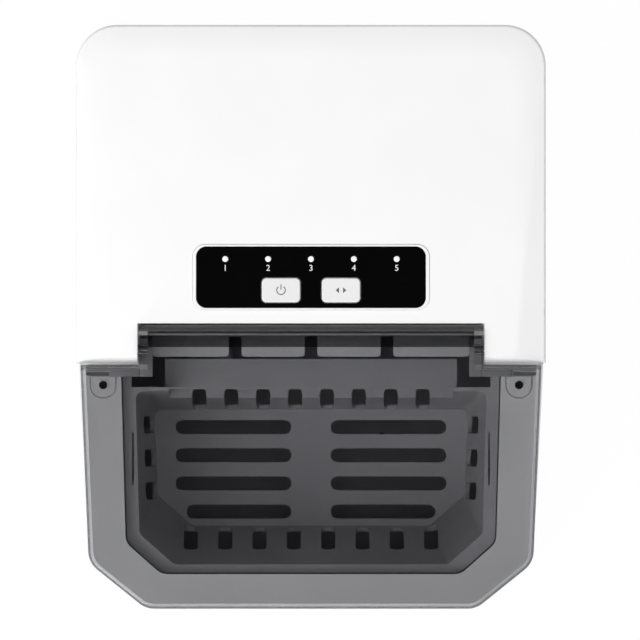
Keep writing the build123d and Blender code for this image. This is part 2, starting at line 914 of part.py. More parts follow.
def push_button(x, y):
    # a keycap with a flange that keeps it under the panel and a stem above its switch
    with BuildPart() as button:
        with BuildSketch(Plane.XY.offset(flange_bottom)):
            with Locations((x, y)):
                RectangleRounded(button_width, button_depth, button_radius)
        extrude(amount=button_top - flange_bottom)
        fillet(button.faces().sort_by(Axis.Z)[-1].edges(), radius=button_rise / 2)
        with BuildSketch(Plane.XY.offset(flange_bottom)):
            with Locations((x, y)):
                RectangleRounded(
                    button_width + 2 * (button_side_gap + button_flange),
                    button_depth + 2 * (button_side_gap + button_flange),
                    button_radius + button_flange,
                )
        extrude(amount=button_flange_thickness)
        rod((x, y, stem_bottom), (x, y, flange_bottom), plunger_radius + pin_gap)
    return button.part


on_off_button = push_button(*button_spots[0])
on_off_button.label = "on_off_button"
select_button = push_button(*button_spots[1])
select_button.label = "select_button"

# Five light pipes standing on the control board
with BuildPart() as led_lenses:
    for x, y in lamp_spots:
        rod((x, y, board_top), (x, y, overlay_top + lamp_rise), lamp_radius)
led_lenses.part.label = "led_lenses"

with BuildPart() as control_board:
    block(
        -board_width / 2,
        board_width / 2,
        panel_y - board_depth / 2,
        panel_y + board_depth / 2,
        board_bottom,
        board_top,
    )
    for x, y in board_spots:
        rod((x, y, board_bottom), (x, y, board_top), board_screw_radius + pin_gap, mode=Mode.SUBTRACT)
control_board.part.label = "control_board"

with BuildPart() as board_screws:
    for x, y in board_spots:
        rod((x, y, board_bottom - board_screw_head_height), (x, y, board_bottom), board_screw_head)
        rod((x, y, board_bottom), (x, y, board_top + board_screw_depth), board_screw_radius)
board_screws.part.label = "board_screws"

with BuildPart() as tact_switches:
    for x, y in button_spots:
        half = switch_size / 2
        block(x - half, x + half, y - half, y + half, board_top, board_top + switch_height)
        rod((x, y, board_top + switch_height), (x, y, plunger_top), plunger_radius)
tact_switches.part.label = "tact_switches"

# Smoked lid: hollow front part, thin rear bridge rolled about the hinge, cheeks for the pins
barrel_inner = barrel_radius - wall
roll_y = hinge_y + sqrt(barrel_radius**2 - hinge_drop**2)
roll_inner_y = hinge_y + sqrt(barrel_inner**2 - (hinge_drop - wall) ** 2)
bridge_front_y = lid_rear_y - wall


def on_barrel(radius, start_drop):
    # a point half way round the barrel's arc, from its top edge down to the axis height
    angle = atan2(start_drop, sqrt(radius**2 - start_drop**2)) / 2
    return (hinge_y + radius * cos(angle), hinge_z + radius * sin(angle))


with BuildPart() as lid:
    with BuildSketch(Plane.XY.offset(lid_bottom)):
        add(lid_plan())
    extrude(amount=lid_height)
    fillet(lid.faces().sort_by(Axis.Z)[-1].edges(), radius=lid_edge_radius)
    with BuildSketch(Plane.XY.offset(lid_bottom)):
        add(lid_plan(wall))
    extrude(amount=lid_height - wall, mode=Mode.SUBTRACT)
    block(
        -bridge_half_width + bridge_cheek,
        bridge_half_width - bridge_cheek,
        bridge_front_y - wall,
        lid_rear_y + wall,
        lid_bottom,
        machine_height - wall,
        mode=Mode.SUBTRACT,
    )
    with BuildSketch(Plane.YZ.offset(-bridge_half_width)):
        with BuildLine():
            Line((bridge_front_y, machine_height), (roll_y, machine_height))
            ThreePointArc(
                (roll_y, machine_height),
                on_barrel(barrel_radius, hinge_drop),
                (bridge_rear_y, hinge_z),
            )
            Line((bridge_rear_y, hinge_z), (bridge_rear_y - wall, hinge_z))
            ThreePointArc(
                (bridge_rear_y - wall, hinge_z),
                on_barrel(barrel_inner, hinge_drop - wall),
                (roll_inner_y, machine_height - wall),
            )
            Line((roll_inner_y, machine_height - wall), (bridge_front_y, machine_height - wall))
            Line((bridge_front_y, machine_height - wall), (bridge_front_y, machine_height))
        make_face()
    extrude(amount=2 * bridge_half_width)
    for cheek_x in (-bridge_half_width, bridge_half_width - bridge_cheek):
        with BuildSketch(Plane.YZ.offset(cheek_x)):
            with BuildLine():
                Polyline(
                    (bridge_rear_y, hinge_z),
                    (hinge_y + cheek_drop, hinge_z - cheek_drop),
                    (bridge_front_y, hinge_z - cheek_drop),
                    (bridge_front_y, machine_height),
                    (roll_y, machine_height),
                )
                ThreePointArc(
                    (roll_y, machine_height),
                    on_barrel(barrel_radius, hinge_drop),
                    (bridge_rear_y, hinge_z),
                )
            make_face()
            with Locations((hinge_y, hinge_z)):
                Circle(hinge_pin_radius + pin_gap, mode=Mode.SUBTRACT)
        extrude(amount=bridge_cheek)
lid.part.label = "lid"

# Hinge pins held in the cover's arms
with BuildPart() as hinge_pins:
    for side in (-1, 1):
        rod(
            (side * (bridge_half_width - bridge_cheek), hinge_y, hinge_z),
            (side * (notch_half + hinge_pin_depth - wall), hinge_y, hinge_z),
            hinge_pin_radius,
        )
hinge_pins.part.label = "hinge_pins"

def screw_pads(grow=0.0):
    # the two U-shaped pads for the deck's screws
    with BuildSketch() as pads:
        for side in (-1, 1):
            with Locations((side * pad_x, pad_screw_y)):
                Circle(pad_half_width + grow)
            with Locations((side * pad_x, (pad_screw_y + pad_rear_y) / 2)):
                Rectangle(2 * (pad_half_width + grow), pad_rear_y - pad_screw_y)
        with Locations((0, pad_rear_y + pad_half_width)):
            Rectangle(machine_width, 2 * pad_half_width, mode=Mode.SUBTRACT)
    return pads.sketch


# Deck frame: white rim around the tank opening, with two slots and two screw pads
with BuildPart() as deck_frame:
    with BuildSketch(Plane.XY.offset(shell_top)):
        add(body_plan())
        with Locations((0, front_y)):
            Rectangle(machine_width, 2 * (lid_rear_y + lid_open_gap / 2 - front_y), mode=Mode.INTERSECT)
        with Locations((0, (lid_rear_y + flange_rear_y) / 2)):
            Rectangle(2 * (half_width - wall - touch_gap), flange_rear_y - lid_rear_y)
        add(tank_plan(), mode=Mode.SUBTRACT)
        with Locations((0, (chamber_front_y + chamber_rear_y) / 2)):
            Rectangle(2 * chamber_half, chamber_length, mode=Mode.SUBTRACT)
    extrude(amount=deck_thickness)
    with BuildSketch(Plane.XY.offset(deck_top)):
        add(screw_pads(pad_groove_width))
        add(screw_pads(), mode=Mode.SUBTRACT)
    extrude(amount=-pad_groove_depth, mode=Mode.SUBTRACT)
    with BuildSketch(Plane.XY.offset(deck_top)):
        add(screw_pads())
    extrude(amount=pad_rise)
    with BuildSketch(Plane.XY.offset(deck_top)):
        for side in (-1, 1):
            with Locations((side * deck_slot_x, deck_slot_y)):
                SlotOverall(deck_slot_length, deck_slot_width)
    extrude(amount=-deck_thickness, mode=Mode.SUBTRACT)
    for side in (-1, 1):
        rod(
            (side * pad_x, pad_screw_y, shell_top),
            (side * pad_x, pad_screw_y, deck_top + pad_rise),
            deck_screw_radius + pin_gap,
            mode=Mode.SUBTRACT,
        )
deck_frame.part.label = "deck_frame"

with BuildPart() as deck_screws:
    for side in (-1, 1):
        x = side * pad_x
        head_base = deck_top + pad_rise
        head_top = head_base + deck_screw_head_height
        rod((x, pad_screw_y, head_base), (x, pad_screw_y, head_top), deck_screw_head)
        rod((x, pad_screw_y, tank_top - flange_thickness), (x, pad_screw_y, head_base), deck_screw_radius)
deck_screws.part.label = "deck_screws"

# Water tank: deep reservoir in front, shallow ice chamber behind, flange under the deck
lug_spots = [lid_rear_y - lug_setback - i * lug_pitch for i in range(2)]
lug_outer = tank_front_half + wall

with BuildPart() as water_tank:
    with BuildSketch(Plane.XY.offset(tank_under)):
        add(tank_plan(wall))
    extrude(amount=tank_top - tank_under)
    block(
        -chamber_outer,
        chamber_outer,
        chamber_front_y,
        chamber_rear_y + wall,
        chamber_floor - wall,
        tank_top,
    )
    with BuildSketch(Plane.XY.offset(tank_top - flange_thickness)):
        add(body_plan(wall + touch_gap))
        with Locations((0, front_y)):
            Rectangle(machine_width, 2 * (flange_rear_y - front_y), mode=Mode.INTERSECT)
    extrude(amount=flange_thickness)
    with BuildSketch(Plane.XY.offset(tank_floor)):
        add(tank_plan())
    extrude(amount=tank_depth, mode=Mode.SUBTRACT)
    block(
        -chamber_half,
        chamber_half,
        chamber_front_y,
        chamber_rear_y,
        chamber_floor,
        tank_top,
        mode=Mode.SUBTRACT,
    )
    for side in (-1, 1):
        for y in lug_spots:
            lug_x = sorted((side * (lug_outer - lug_reach), side * lug_outer))
            block(
                *lug_x,
                y - lug_width / 2,
                y + lug_width / 2,
                basket_floor_z - touch_gap - lug_height,
                basket_floor_z - touch_gap,
            )
        rod(
            (side * chamber_half - side * wall, shovel_y, shovel_z),
            (side * (chamber_outer + wall), shovel_y, shovel_z),
            shovel_shaft_radius + pin_gap,
            mode=Mode.SUBTRACT,
        )
        rod(
            (side * (tank_side_half - 2 * wall), sensor_y, sensor_z),
            (side * (tank_side_half + 2 * wall), sensor_y, sensor_z),
            sensor_radius + seat_gap,
            mode=Mode.SUBTRACT,
        )
        rod(
            (side * pad_x, pad_screw_y, tank_top - flange_thickness),
            (side * pad_x, pad_screw_y, tank_top),
            deck_screw_radius + seat_gap,
            mode=Mode.SUBTRACT,
        )
        rod(
            (side * (chamber_half - wall), tray_y, tray_z),
            (side * (chamber_outer + wall), tray_y, tray_z),
            tray_shaft_radius + bush_wall + seat_gap,
            mode=Mode.SUBTRACT,
        )
    rod(
        (chamber_half - wall, spout_y, spout_z),
        (chamber_outer + wall, spout_y, spout_z),
        spout_radius + seat_gap,
        mode=Mode.SUBTRACT,
    )
    rod(
        (pump_x, pump_y, tank_under),
        (pump_x, pump_y, tank_floor),
        inlet_bore - hose_wall,
        mode=Mode.SUBTRACT,
    )
    rod(
        (drain_x, drain_y, tank_under),
        (drain_x, drain_y, tank_floor),
        drain_bore,
        mode=Mode.SUBTRACT,
    )
water_tank.part.label = "water_tank"

# Foam jacket along the left side and the front of the tank
with BuildPart() as tank_insulation:
    with BuildSketch(Plane.XY.offset(tank_under + foam_bottom_rise)):
        add(body_plan(wall + foam_gap))
        add(tank_plan(wall + pin_gap), mode=Mode.SUBTRACT)
        foam_left_x = -half_width
        foam_right_x = half_width - foam_right_margin
        foam_rear_y = sensor_y - 2 * sensor_flange_radius
        with Locations(((foam_left_x + foam_right_x) / 2, (front_y + foam_rear_y) / 2)):
            Rectangle(
                foam_right_x - foam_left_x,
                foam_rear_y - front_y,
                mode=Mode.INTERSECT,
            )
    extrude(amount=tank_top - flange_thickness - foam_top_drop - tank_under - foam_bottom_rise)
tank_insulation.part.label = "tank_insulation"

# Ice basket: drawn-in slotted walls, slotted floor, rear tongue, rim with a lip and side ears
side_slot_middle = basket_rear_y - ear_setback - ear_length / 2
floor_rear_row = basket_rear_y - basket_rear_draw - floor_row_margin

with BuildPart() as ice_basket:
    with BuildSketch(Plane.XY.offset(basket_floor_z)):
        add(basket_plan(0.0))
    with BuildSketch(Plane.XY.offset(basket_rim_z)):
        add(basket_plan(1.0))
    loft(ruled=True)
    with BuildSketch(Plane.XY.offset(basket_floor_z + basket_wall)):
        add(basket_plan(basket_wall / basket_height, basket_wall))
    with BuildSketch(Plane.XY.offset(basket_rim_z)):
        add(basket_plan(1.0, basket_wall))
    loft(ruled=True, mode=Mode.SUBTRACT)
    block(
        -tongue_half + basket_wall,
        tongue_half - basket_wall,
        basket_rear_y - basket_rear_draw - basket_wall,
        basket_rear_y + basket_wall,
        tongue_top,
        basket_rim_z,
        mode=Mode.SUBTRACT,
    )
    tongue_root_y = basket_rear_y - basket_rear_draw * tongue_drop / basket_height - basket_wall / 2
    with BuildSketch(Plane.XY.offset(tongue_top - tongue_thickness)):
        with Locations((0, (tongue_root_y + tongue_rear_y) / 2)):
            Rectangle(2 * tongue_half, tongue_rear_y - tongue_root_y)
    extrude(amount=tongue_thickness)
    with BuildSketch(Plane.XY.offset(basket_rim_z - lip_thickness)):
        add(tank_plan(-lip_gap))
        with Locations((0, front_y)):
            Rectangle(machine_width, 2 * (basket_rear_y + lip_wing - front_y), mode=Mode.INTERSECT)
        with Locations((0, basket_rear_y + lip_wing / 2)):
            Rectangle(2 * basket_rim_half, lip_wing, mode=Mode.SUBTRACT)
        add(basket_plan(1.0, basket_wall / 2), mode=Mode.SUBTRACT)
    extrude(amount=lip_thickness)
    for side in (-1, 1):
        ear_x = sorted((side * (basket_rim_half - basket_wall), side * (basket_rim_half + ear_width)))
        ear_y = basket_rear_y - ear_setback
        block(*ear_x, ear_y - ear_length, ear_y, basket_rim_z - ear_height, basket_rim_z)
    with BuildSketch(Plane.XY.offset(basket_rim_z)):
        for side in (-1, 1):
            with Locations((side * (basket_rim_half - ear_slot_inset), side_slot_middle)):
                SlotOverall(ear_slot_length, ear_slot_width, rotation=90)
    extrude(amount=-ear_height, mode=Mode.SUBTRACT)
    with BuildSketch(Plane.XY.offset(basket_floor_z)):
        for row in range(floor_rows):
            length = floor_slot_short if row == floor_rows - 1 else floor_slot_length
            for side in (-1, 1):
                slot_x = side * (floor_web / 2 + length / 2)
                with Locations((slot_x, floor_rear_row - row * floor_row_pitch)):
                    SlotOverall(length, slot_width)
    extrude(amount=2 * basket_wall, mode=Mode.SUBTRACT)
    slot_height = wall_slot_high - wall_slot_low
    slot_middle = basket_floor_z + (wall_slot_low + wall_slot_high) / 2
    rear_slot_length = basket_rear_draw + basket_wall
    with BuildSketch(Plane.XY.offset(basket_floor_z + wall_slot_low)):
        for x in centred(rear_slot_count, rear_slot_pitch):
            with Locations((x, basket_rear_y - rear_slot_length / 2)):
                SlotOverall(rear_slot_length, slot_width, rotation=90)
    extrude(amount=tongue_top - basket_floor_z - wall_slot_low, mode=Mode.SUBTRACT)
    with BuildSketch(Plane.XZ.offset(-basket_front_y - basket_front_draw - basket_wall)):
        for x in centred(front_slot_count, front_slot_pitch):
            with Locations((x, slot_middle)):
                SlotOverall(slot_height, slot_width, rotation=90)
    extrude(amount=basket_front_draw + 2 * basket_wall, mode=Mode.SUBTRACT)
    with BuildSketch(Plane.YZ.offset(-basket_rim_half)):
        for shift in centred(side_slot_count, side_slot_pitch):
            with Locations((side_slot_middle + shift, slot_middle)):
                SlotOverall(slot_height, side_slot_width, rotation=90)
    extrude(amount=2 * basket_rim_half, mode=Mode.SUBTRACT)
ice_basket.part.label = "ice_basket"

# Ice shovel: shaft across the chamber with four curved blades that slope forwards
blade_edges = [
    (-shovel_half_width, -shovel_inner_edge - shovel_gap / 2),
    (-shovel_inner_edge + shovel_gap / 2, -shovel_gap / 2),
    (shovel_gap / 2, shovel_inner_edge - shovel_gap / 2),
    (shovel_inner_edge + shovel_gap / 2, shovel_half_width),
]
blade_middle = (
    (shovel_y + shovel_tip_y) / 2 + shovel_sag * shovel_reach_down / shovel_length,
    (shovel_z + shovel_tip_z) / 2 - shovel_sag * shovel_reach_forward / shovel_length,
)

with BuildPart() as ice_shovel:
    for left, right in blade_edges:
        with BuildSketch(Plane.YZ.offset(left)):
            with BuildLine():
                ThreePointArc((shovel_y, shovel_z), blade_middle, (shovel_tip_y, shovel_tip_z))
            trace(line_width=shovel_thickness)
        extrude(amount=right - left)
    tip_edges = ice_shovel.edges().filter_by(lambda e: abs(e.length - shovel_thickness) < touch_gap)
    fillet(tip_edges.sort_by(Axis.Y)[: 2 * len(blade_edges)], radius=shovel_corner_radius)
    rod((-chamber_outer, shovel_y, shovel_z), (chamber_outer, shovel_y, shovel_z), shovel_shaft_radius)
ice_shovel.part.label = "ice_shovel"

# Water tray: half-round trough that turns about the chamber's cross axis
tray_inner_half = tray_half_length - tray_wall
hub_end = chamber_half - tray_side_gap

with BuildPart() as water_tray:
    with BuildSketch(Plane.YZ.offset(-tray_half_length)):
        with Locations((tray_y, tray_z)):
            Circle(tray_outer_radius)
        with Locations((tray_y, tray_z + tray_outer_radius)):
            Rectangle(2 * tray_outer_radius, 2 * tray_outer_radius, mode=Mode.SUBTRACT)
    extrude(amount=2 * tray_half_length)
    with BuildSketch(Plane.YZ.offset(-tray_inner_half)):
        with Locations((tray_y, tray_z)):
            Circle(tray_inner_radius)
    extrude(amount=2 * tray_inner_half, mode=Mode.SUBTRACT)
    rod((-tray_half_length, tray_y, tray_z), (-tray_inner_half, tray_y, tray_z), tray_hub_radius)
    rod((tray_inner_half, tray_y, tray_z), (hub_end, tray_y, tray_z), tray_hub_radius)
    rod(
        (-chamber_outer - bush_flange_thickness, tray_y, tray_z),
        (-tray_half_length, tray_y, tray_z),
        tray_shaft_radius,
    )
    rod(
        (tray_half_length, tray_y, tray_z),
        (hub_end, tray_y, tray_z),
        tray_shaft_radius + pin_gap,
        mode=Mode.SUBTRACT,
    )
water_tray.part.label = "water_tray"

# Bush for the tray's free end
bush_radius = tray_shaft_radius + bush_wall
with BuildPart() as tray_bearing:
    rod((-chamber_outer, tray_y, tray_z), (-chamber_half, tray_y, tray_z), bush_radius)
    rod(
        (-chamber_outer - bush_flange_thickness, tray_y, tray_z),
        (-chamber_outer, tray_y, tray_z),
        bush_radius + bush_flange,
    )
    rod(
        (-chamber_outer - bush_flange_thickness, tray_y, tray_z),
        (-chamber_half, tray_y, tray_z),
        tray_shaft_radius + pin_gap,
        mode=Mode.SUBTRACT,
    )
tray_bearing.part.label = "tray_bearing"

# Gear motor on the chamber's right wall, its shaft in the tray's hub
with BuildPart() as tray_motor:
    block(
        chamber_outer,
        chamber_outer + tray_motor_thickness,
        tray_y - tray_motor_width / 2,
        tray_y + tray_motor_width / 2,
        tray_z - tray_motor_height / 2,
        tray_z + tray_motor_height / 2,
    )
    fillet(tray_motor.edges().filter_by(Axis.X), radius=wall)
    rod(
        (tray_half_length + tray_side_gap, tray_y, tray_z),
        (chamber_outer, tray_y, tray_z),
        tray_shaft_radius,
    )
tray_motor.part.label = "tray_motor"

# Evaporator: header tube with cold fingers and two risers that go over the rear
with BuildPart() as evaporator:
    rod((-header_half_length, tray_y, header_z), (header_half_length, tray_y, header_z), header_radius)
    for x in centred(finger_count, finger_pitch):
        rod((x, tray_y, tray_z - finger_drop + finger_radius), (x, tray_y, header_z), finger_radius)
        with Locations((x, tray_y, tray_z - finger_drop + finger_radius)):
            Sphere(finger_radius)
    for side in (-1, 1):
        x = side * riser_x
        riser_points = [
            (x, tray_y, header_z),
            (x, tray_y, riser_top_z),
            (x, riser_rear_y, riser_top_z),
            (x, riser_rear_y, riser_end_z),
        ]
        bent_tube(riser_points, riser_radius, riser_bend)
evaporator.part.label = "evaporator"

# Bracket across the chamber that carries the header on three hangers
bracket_top = deck_top + bracket_rise + bracket_thickness
bracket_foot_inner = chamber_half + wall
header_top = header_z + header_radius

with BuildPart() as evaporator_bracket:
    y_from = tray_y - bracket_width / 2
    y_to = tray_y + bracket_width / 2
    block(
        -bracket_foot_inner - bracket_thickness,
        bracket_foot_inner + bracket_thickness,
        y_from,
        y_to,
        bracket_top - bracket_thickness,
        bracket_top,
    )
    for side in (-1, 1):
        leg_x = sorted((side * bracket_foot_inner, side * (bracket_foot_inner + bracket_thickness)))
        foot_x_pair = sorted((side * bracket_foot_inner, side * (bracket_foot_inner + bracket_foot)))
        block(*leg_x, y_from, y_to, deck_top, bracket_top)
        block(*foot_x_pair, y_from, y_to, deck_top, deck_top + bracket_thickness)
        rod(
            (side * riser_x, tray_y, deck_top),
            (side * riser_x, tray_y, bracket_top + wall),
            riser_radius + bracket_hole_gap,
            mode=Mode.SUBTRACT,
        )
    for x in (-hanger_pitch + finger_pitch / 2, finger_pitch / 2, hanger_pitch - finger_pitch / 2):
        block(
            x - bracket_thickness / 2,
            x + bracket_thickness / 2,
            tray_y - hanger_width / 2,
            tray_y + hanger_width / 2,
            header_z,
            bracket_top - bracket_thickness / 2,
        )
    rod(
        (-header_half_length, tray_y, header_z),
        (header_half_length, tray_y, header_z),
        header_radius + seat_gap,
        mode=Mode.SUBTRACT,
    )
evaporator_bracket.part.label = "evaporator_bracket"

# Spout that fills the tray through the chamber's right wall
spout_tip_x = chamber_half - spout_reach
spout_end_x = chamber_outer + spout_flange_thickness + spout_nipple

with BuildPart() as tray_fill_spout:
    rod((spout_tip_x, spout_y, spout_z), (spout_end_x, spout_y, spout_z), spout_radius)
    rod(
        (chamber_outer, spout_y, spout_z),
        (chamber_outer + spout_flange_thickness, spout_y, spout_z),
        spout_flange_radius,
    )
    rod(
        (spout_tip_x + hose_wall, spout_y, spout_z),
        (spout_end_x, spout_y, spout_z),
        spout_radius - hose_wall,
        mode=Mode.SUBTRACT,
    )
    rod(
        (spout_tip_x + 3 * hose_wall, spout_y, spout_z - 2 * spout_radius),
        (spout_tip_x + 3 * hose_wall, spout_y, spout_z),
        spout_radius - hose_wall,
        mode=Mode.SUBTRACT,
    )
tray_fill_spout.part.label = "tray_fill_spout"

# Water pump on its saddle, with an inlet on top and an outlet at its right end
pump_right_x = pump_x + pump_length / 2
pump_left_x = pump_x - pump_length / 2
pump_inlet_top = pump_z + pump_radius + pump_inlet_length

with BuildPart() as water_pump:
    rod((pump_left_x, pump_y, pump_z), (pump_right_x, pump_y, pump_z), pump_radius)
    rod((pump_x, pump_y, pump_z), (pump_x, pump_y, pump_inlet_top), inlet_bore)
    rod((pump_right_x, pump_y, pump_z), (pump_right_x + pump_nipple, pump_y, pump_z), spout_radius)
water_pump.part.label = "water_pump"

with BuildPart() as pump_bracket:
    block(
        pump_x - pump_bracket_width / 2,
        pump_x + pump_bracket_width / 2,
        pump_y - pump_bracket_length / 2,
        pump_y + pump_bracket_length / 2,
        shell_bottom,
        pump_z - pump_radius / 2,
    )
    rod(
        (pump_left_x, pump_y, pump_z),
        (pump_right_x, pump_y, pump_z),
        pump_radius + seat_gap,
        mode=Mode.SUBTRACT,
    )
pump_bracket.part.label = "pump_bracket"

# Outlet fitting under the tank's floor, and the two hoses
outlet_bottom = tank_under - outlet_flange_thickness - tank_nipple_length
with BuildPart() as tank_outlet:
    rod((pump_x, pump_y, outlet_bottom), (pump_x, pump_y, tank_under), inlet_bore)
    rod(
        (pump_x, pump_y, tank_under - outlet_flange_thickness),
        (pump_x, pump_y, tank_under),
        outlet_flange_radius,
    )
    rod(
        (pump_x, pump_y, outlet_bottom),
        (pump_x, pump_y, tank_under),
        inlet_bore - hose_wall,
        mode=Mode.SUBTRACT,
    )
tank_outlet.part.label = "tank_outlet"

with BuildPart() as pump_inlet_hose:
    low = pump_inlet_top - hose_grip
    high = outlet_bottom + hose_grip
    rod((pump_x, pump_y, low), (pump_x, pump_y, high), inlet_bore + hose_wall)
    rod((pump_x, pump_y, low), (pump_x, pump_y, high), inlet_bore + seat_gap, mode=Mode.SUBTRACT)
pump_inlet_hose.part.label = "pump_inlet_hose"

outlet_points = [
    (pump_right_x + pump_nipple - hose_grip, pump_y, pump_z),
    (hose_side_x, pump_y, pump_z),
    (hose_side_x, pump_y, spout_z),
    (hose_side_x, spout_y, spout_z),
    (spout_end_x - hose_grip, spout_y, spout_z),
]
outlet_bends = [hose_bend, hose_bend, hose_side_x - spout_end_x]
with BuildPart() as pump_outlet_hose:
    bent_tube(outlet_points, hose_outer, outlet_bends, spout_radius + seat_gap)
pump_outlet_hose.part.label = "pump_outlet_hose"

# Level sensor: fixed stem with a float ring that rides on it
float_bottom = tank_floor + stem_foot_height + touch_gap
with BuildPart() as level_stem:
    rod((stem_x, stem_y, tank_floor), (stem_x, stem_y, tank_floor + stem_foot_height), stem_foot_radius)
    rod((stem_x, stem_y, tank_floor), (stem_x, stem_y, tank_floor + stem_height), stem_radius)
    rod(
        (stem_x, stem_y, tank_floor + stem_height),
        (stem_x, stem_y, tank_floor + stem_height + stem_cap_height),
        stem_cap_radius,
    )
level_stem.part.label = "level_stem"

with BuildPart() as level_float:
    rod((stem_x, stem_y, float_bottom), (stem_x, stem_y, float_bottom + float_height), float_radius)
    rod(
        (stem_x, stem_y, float_bottom),
        (stem_x, stem_y, float_bottom + float_height),
        stem_radius + pin_gap,
        mode=Mode.SUBTRACT,
    )
level_float.part.label = "level_float"

# Pair of optical ice-full sensors through the tank's side walls
sensor_share = (chamber_front_y - sensor_y) / (chamber_front_y - tank_front_y - tank_chamfer_depth)
sensor_wall_x = tank_side_half - (tank_side_half - tank_front_half) * sensor_share
with BuildPart() as ice_full_sensors:
    for side in (-1, 1):
        tip = side * (sensor_wall_x + touch_gap)
        back = side * (sensor_wall_x + sensor_length)
        collar = side * (sensor_wall_x + wall + 2 * touch_gap)
        collar_end = collar + side * sensor_flange_thickness
        rod((tip, sensor_y, sensor_z), (back, sensor_y, sensor_z), sensor_radius)
        rod((collar, sensor_y, sensor_z), (collar_end, sensor_y, sensor_z), sensor_flange_radius)
ice_full_sensors.part.label = "ice_full_sensors"

# Drain elbow under the tank and the cap that closes it at the right side
drain_share = (arm_front_y - drain_y) / (arm_front_y - front_corner_y)
drain_wall_x = body_half - side_taper * drain_share
cap_outer_x = drain_wall_x + drain_cap_inset
cap_inner_x = cap_outer_x - drain_cap_thickness
fitting_end_x = cap_inner_x - touch_gap

with BuildPart() as drain_fitting:
    rod((drain_x, drain_y, drain_z - drain_pipe_radius), (drain_x, drain_y, tank_under), drain_pipe_radius)
    rod((drain_x, drain_y, drain_z), (fitting_end_x, drain_y, drain_z), drain_pipe_radius)
    rod((drain_x, drain_y, drain_z), (drain_x, drain_y, tank_under), drain_bore, mode=Mode.SUBTRACT)
    rod((drain_x, drain_y, drain_z), (fitting_end_x, drain_y, drain_z), drain_bore, mode=Mode.SUBTRACT)
drain_fitting.part.label = "drain_fitting"

with BuildPart() as drain_cap:
    rod((cap_inner_x, drain_y, drain_z), (cap_outer_x, drain_y, drain_z), drain_cap_radius)
    with Locations(Plane(origin=(cap_inner_x, drain_y, drain_z), z_dir=(1, 0, 0))):
        with PolarLocations(drain_cap_radius, drain_rib_count):
            Cylinder(
                drain_rib_radius,
                drain_cap_thickness,
                align=(Align.CENTER, Align.CENTER, Align.MIN),
            )
    rod(
        (cap_inner_x - drain_shank_length, drain_y, drain_z),
        (cap_inner_x, drain_y, drain_z),
        drain_bore - pin_gap,
    )
drain_cap.part.label = "drain_cap"

# Compressor: domed can on a plate, four rubber grommets and four bolts
with BuildPart() as compressor:
    rod(
        (compressor_x, compressor_y, compressor_plate_z + compressor_plate_thickness),
        (compressor_x, compressor_y, compressor_top),
        compressor_radius,
    )
    fillet(compressor.edges().filter_by(GeomType.CIRCLE), radius=compressor_dome)
    block(
        compressor_x - compressor_plate_width / 2,
        compressor_x + compressor_plate_width / 2,
        compressor_y - compressor_plate_depth / 2,
        compressor_y + compressor_plate_depth / 2,
        compressor_plate_z,
        compressor_plate_z + compressor_plate_thickness,
    )
    for x, y in mount_spots:
        rod(
            (x, y, compressor_plate_z),
            (x, y, compressor_plate_z + compressor_plate_thickness),
            bolt_radius + bolt_gap,
            mode=Mode.SUBTRACT,
        )
compressor.part.label = "compressor"

with BuildPart() as compressor_grommets:
    for x, y in mount_spots:
        rod((x, y, shell_bottom), (x, y, compressor_plate_z), grommet_radius)
        rod((x, y, shell_bottom), (x, y, compressor_plate_z), bolt_radius + bolt_gap, mode=Mode.SUBTRACT)
compressor_grommets.part.label = "compressor_grommets"

bolt_seat = compressor_plate_z + compressor_plate_thickness
with BuildPart() as compressor_bolts:
    for x, y in mount_spots:
        rod((x, y, foot_height), (x, y, bolt_seat), bolt_radius)
        with BuildSketch(Plane.XY.offset(bolt_seat)):
            with Locations((x, y)):
                RegularPolygon(bolt_head_radius, 6)
        extrude(amount=bolt_head_height)
compressor_bolts.part.label = "compressor_bolts"

# Condenser: serpentine pipe through fins between two end plates that stand on the pan
serpentine_left = fan_x - condenser_half_width - condenser_end_reach
serpentine_right = fan_x + condenser_half_width + condenser_end_reach
serpentine = [
    (serpentine_right, condenser_y, condenser_top_row + condenser_row_pitch),
]
for row in range(condenser_rows):
    row_z = condenser_top_row - row * condenser_row_pitch
    ends = [serpentine_right, serpentine_left]
    if row % 2:
        ends.reverse()
    serpentine += [(x, condenser_y, row_z) for x in ends]
serpentine.append((serpentine_right, condenser_y, condenser_low_row - condenser_row_pitch))

with BuildPart() as condenser:
    bent_tube(serpentine, condenser_pipe_radius, condenser_bend)
    for x in centred(fin_count, 2 * condenser_half_width / (fin_count + 1)):
        block(
            fan_x + x - fin_thickness / 2,
            fan_x + x + fin_thickness / 2,
            shroud_rear_y + fin_front_gap,
            condenser_rear_y,
            shell_bottom + fin_bottom_rise,
            condenser_height,
        )
    for side in (-1, 1):
        x = fan_x + side * condenser_half_width
        block(
            x - end_plate_thickness / 2,
            x + end_plate_thickness / 2,
            shroud_rear_y,
            condenser_rear_y,
            shell_bottom,
            condenser_height,
        )
condenser.part.label = "condenser"

# Fan: shroud on the condenser, motor on a bar with two posts, five-blade wheel
with BuildPart() as fan_shroud:
    block(
        fan_x - shroud_half,
        fan_x + shroud_half,
        shroud_front_y,
        shroud_rear_y,
        fan_z - shroud_half,
        fan_z + shroud_half,
    )
    rod(
        (fan_x, shroud_front_y - shroud_ring_depth, fan_z),
        (fan_x, shroud_front_y, fan_z),
        shroud_hole_radius + shroud_ring_wall,
    )
    rod(
        (fan_x, shroud_front_y - shroud_ring_depth, fan_z),
        (fan_x, shroud_rear_y, fan_z),
        shroud_hole_radius,
        mode=Mode.SUBTRACT,
    )
fan_shroud.part.label = "fan_shroud"

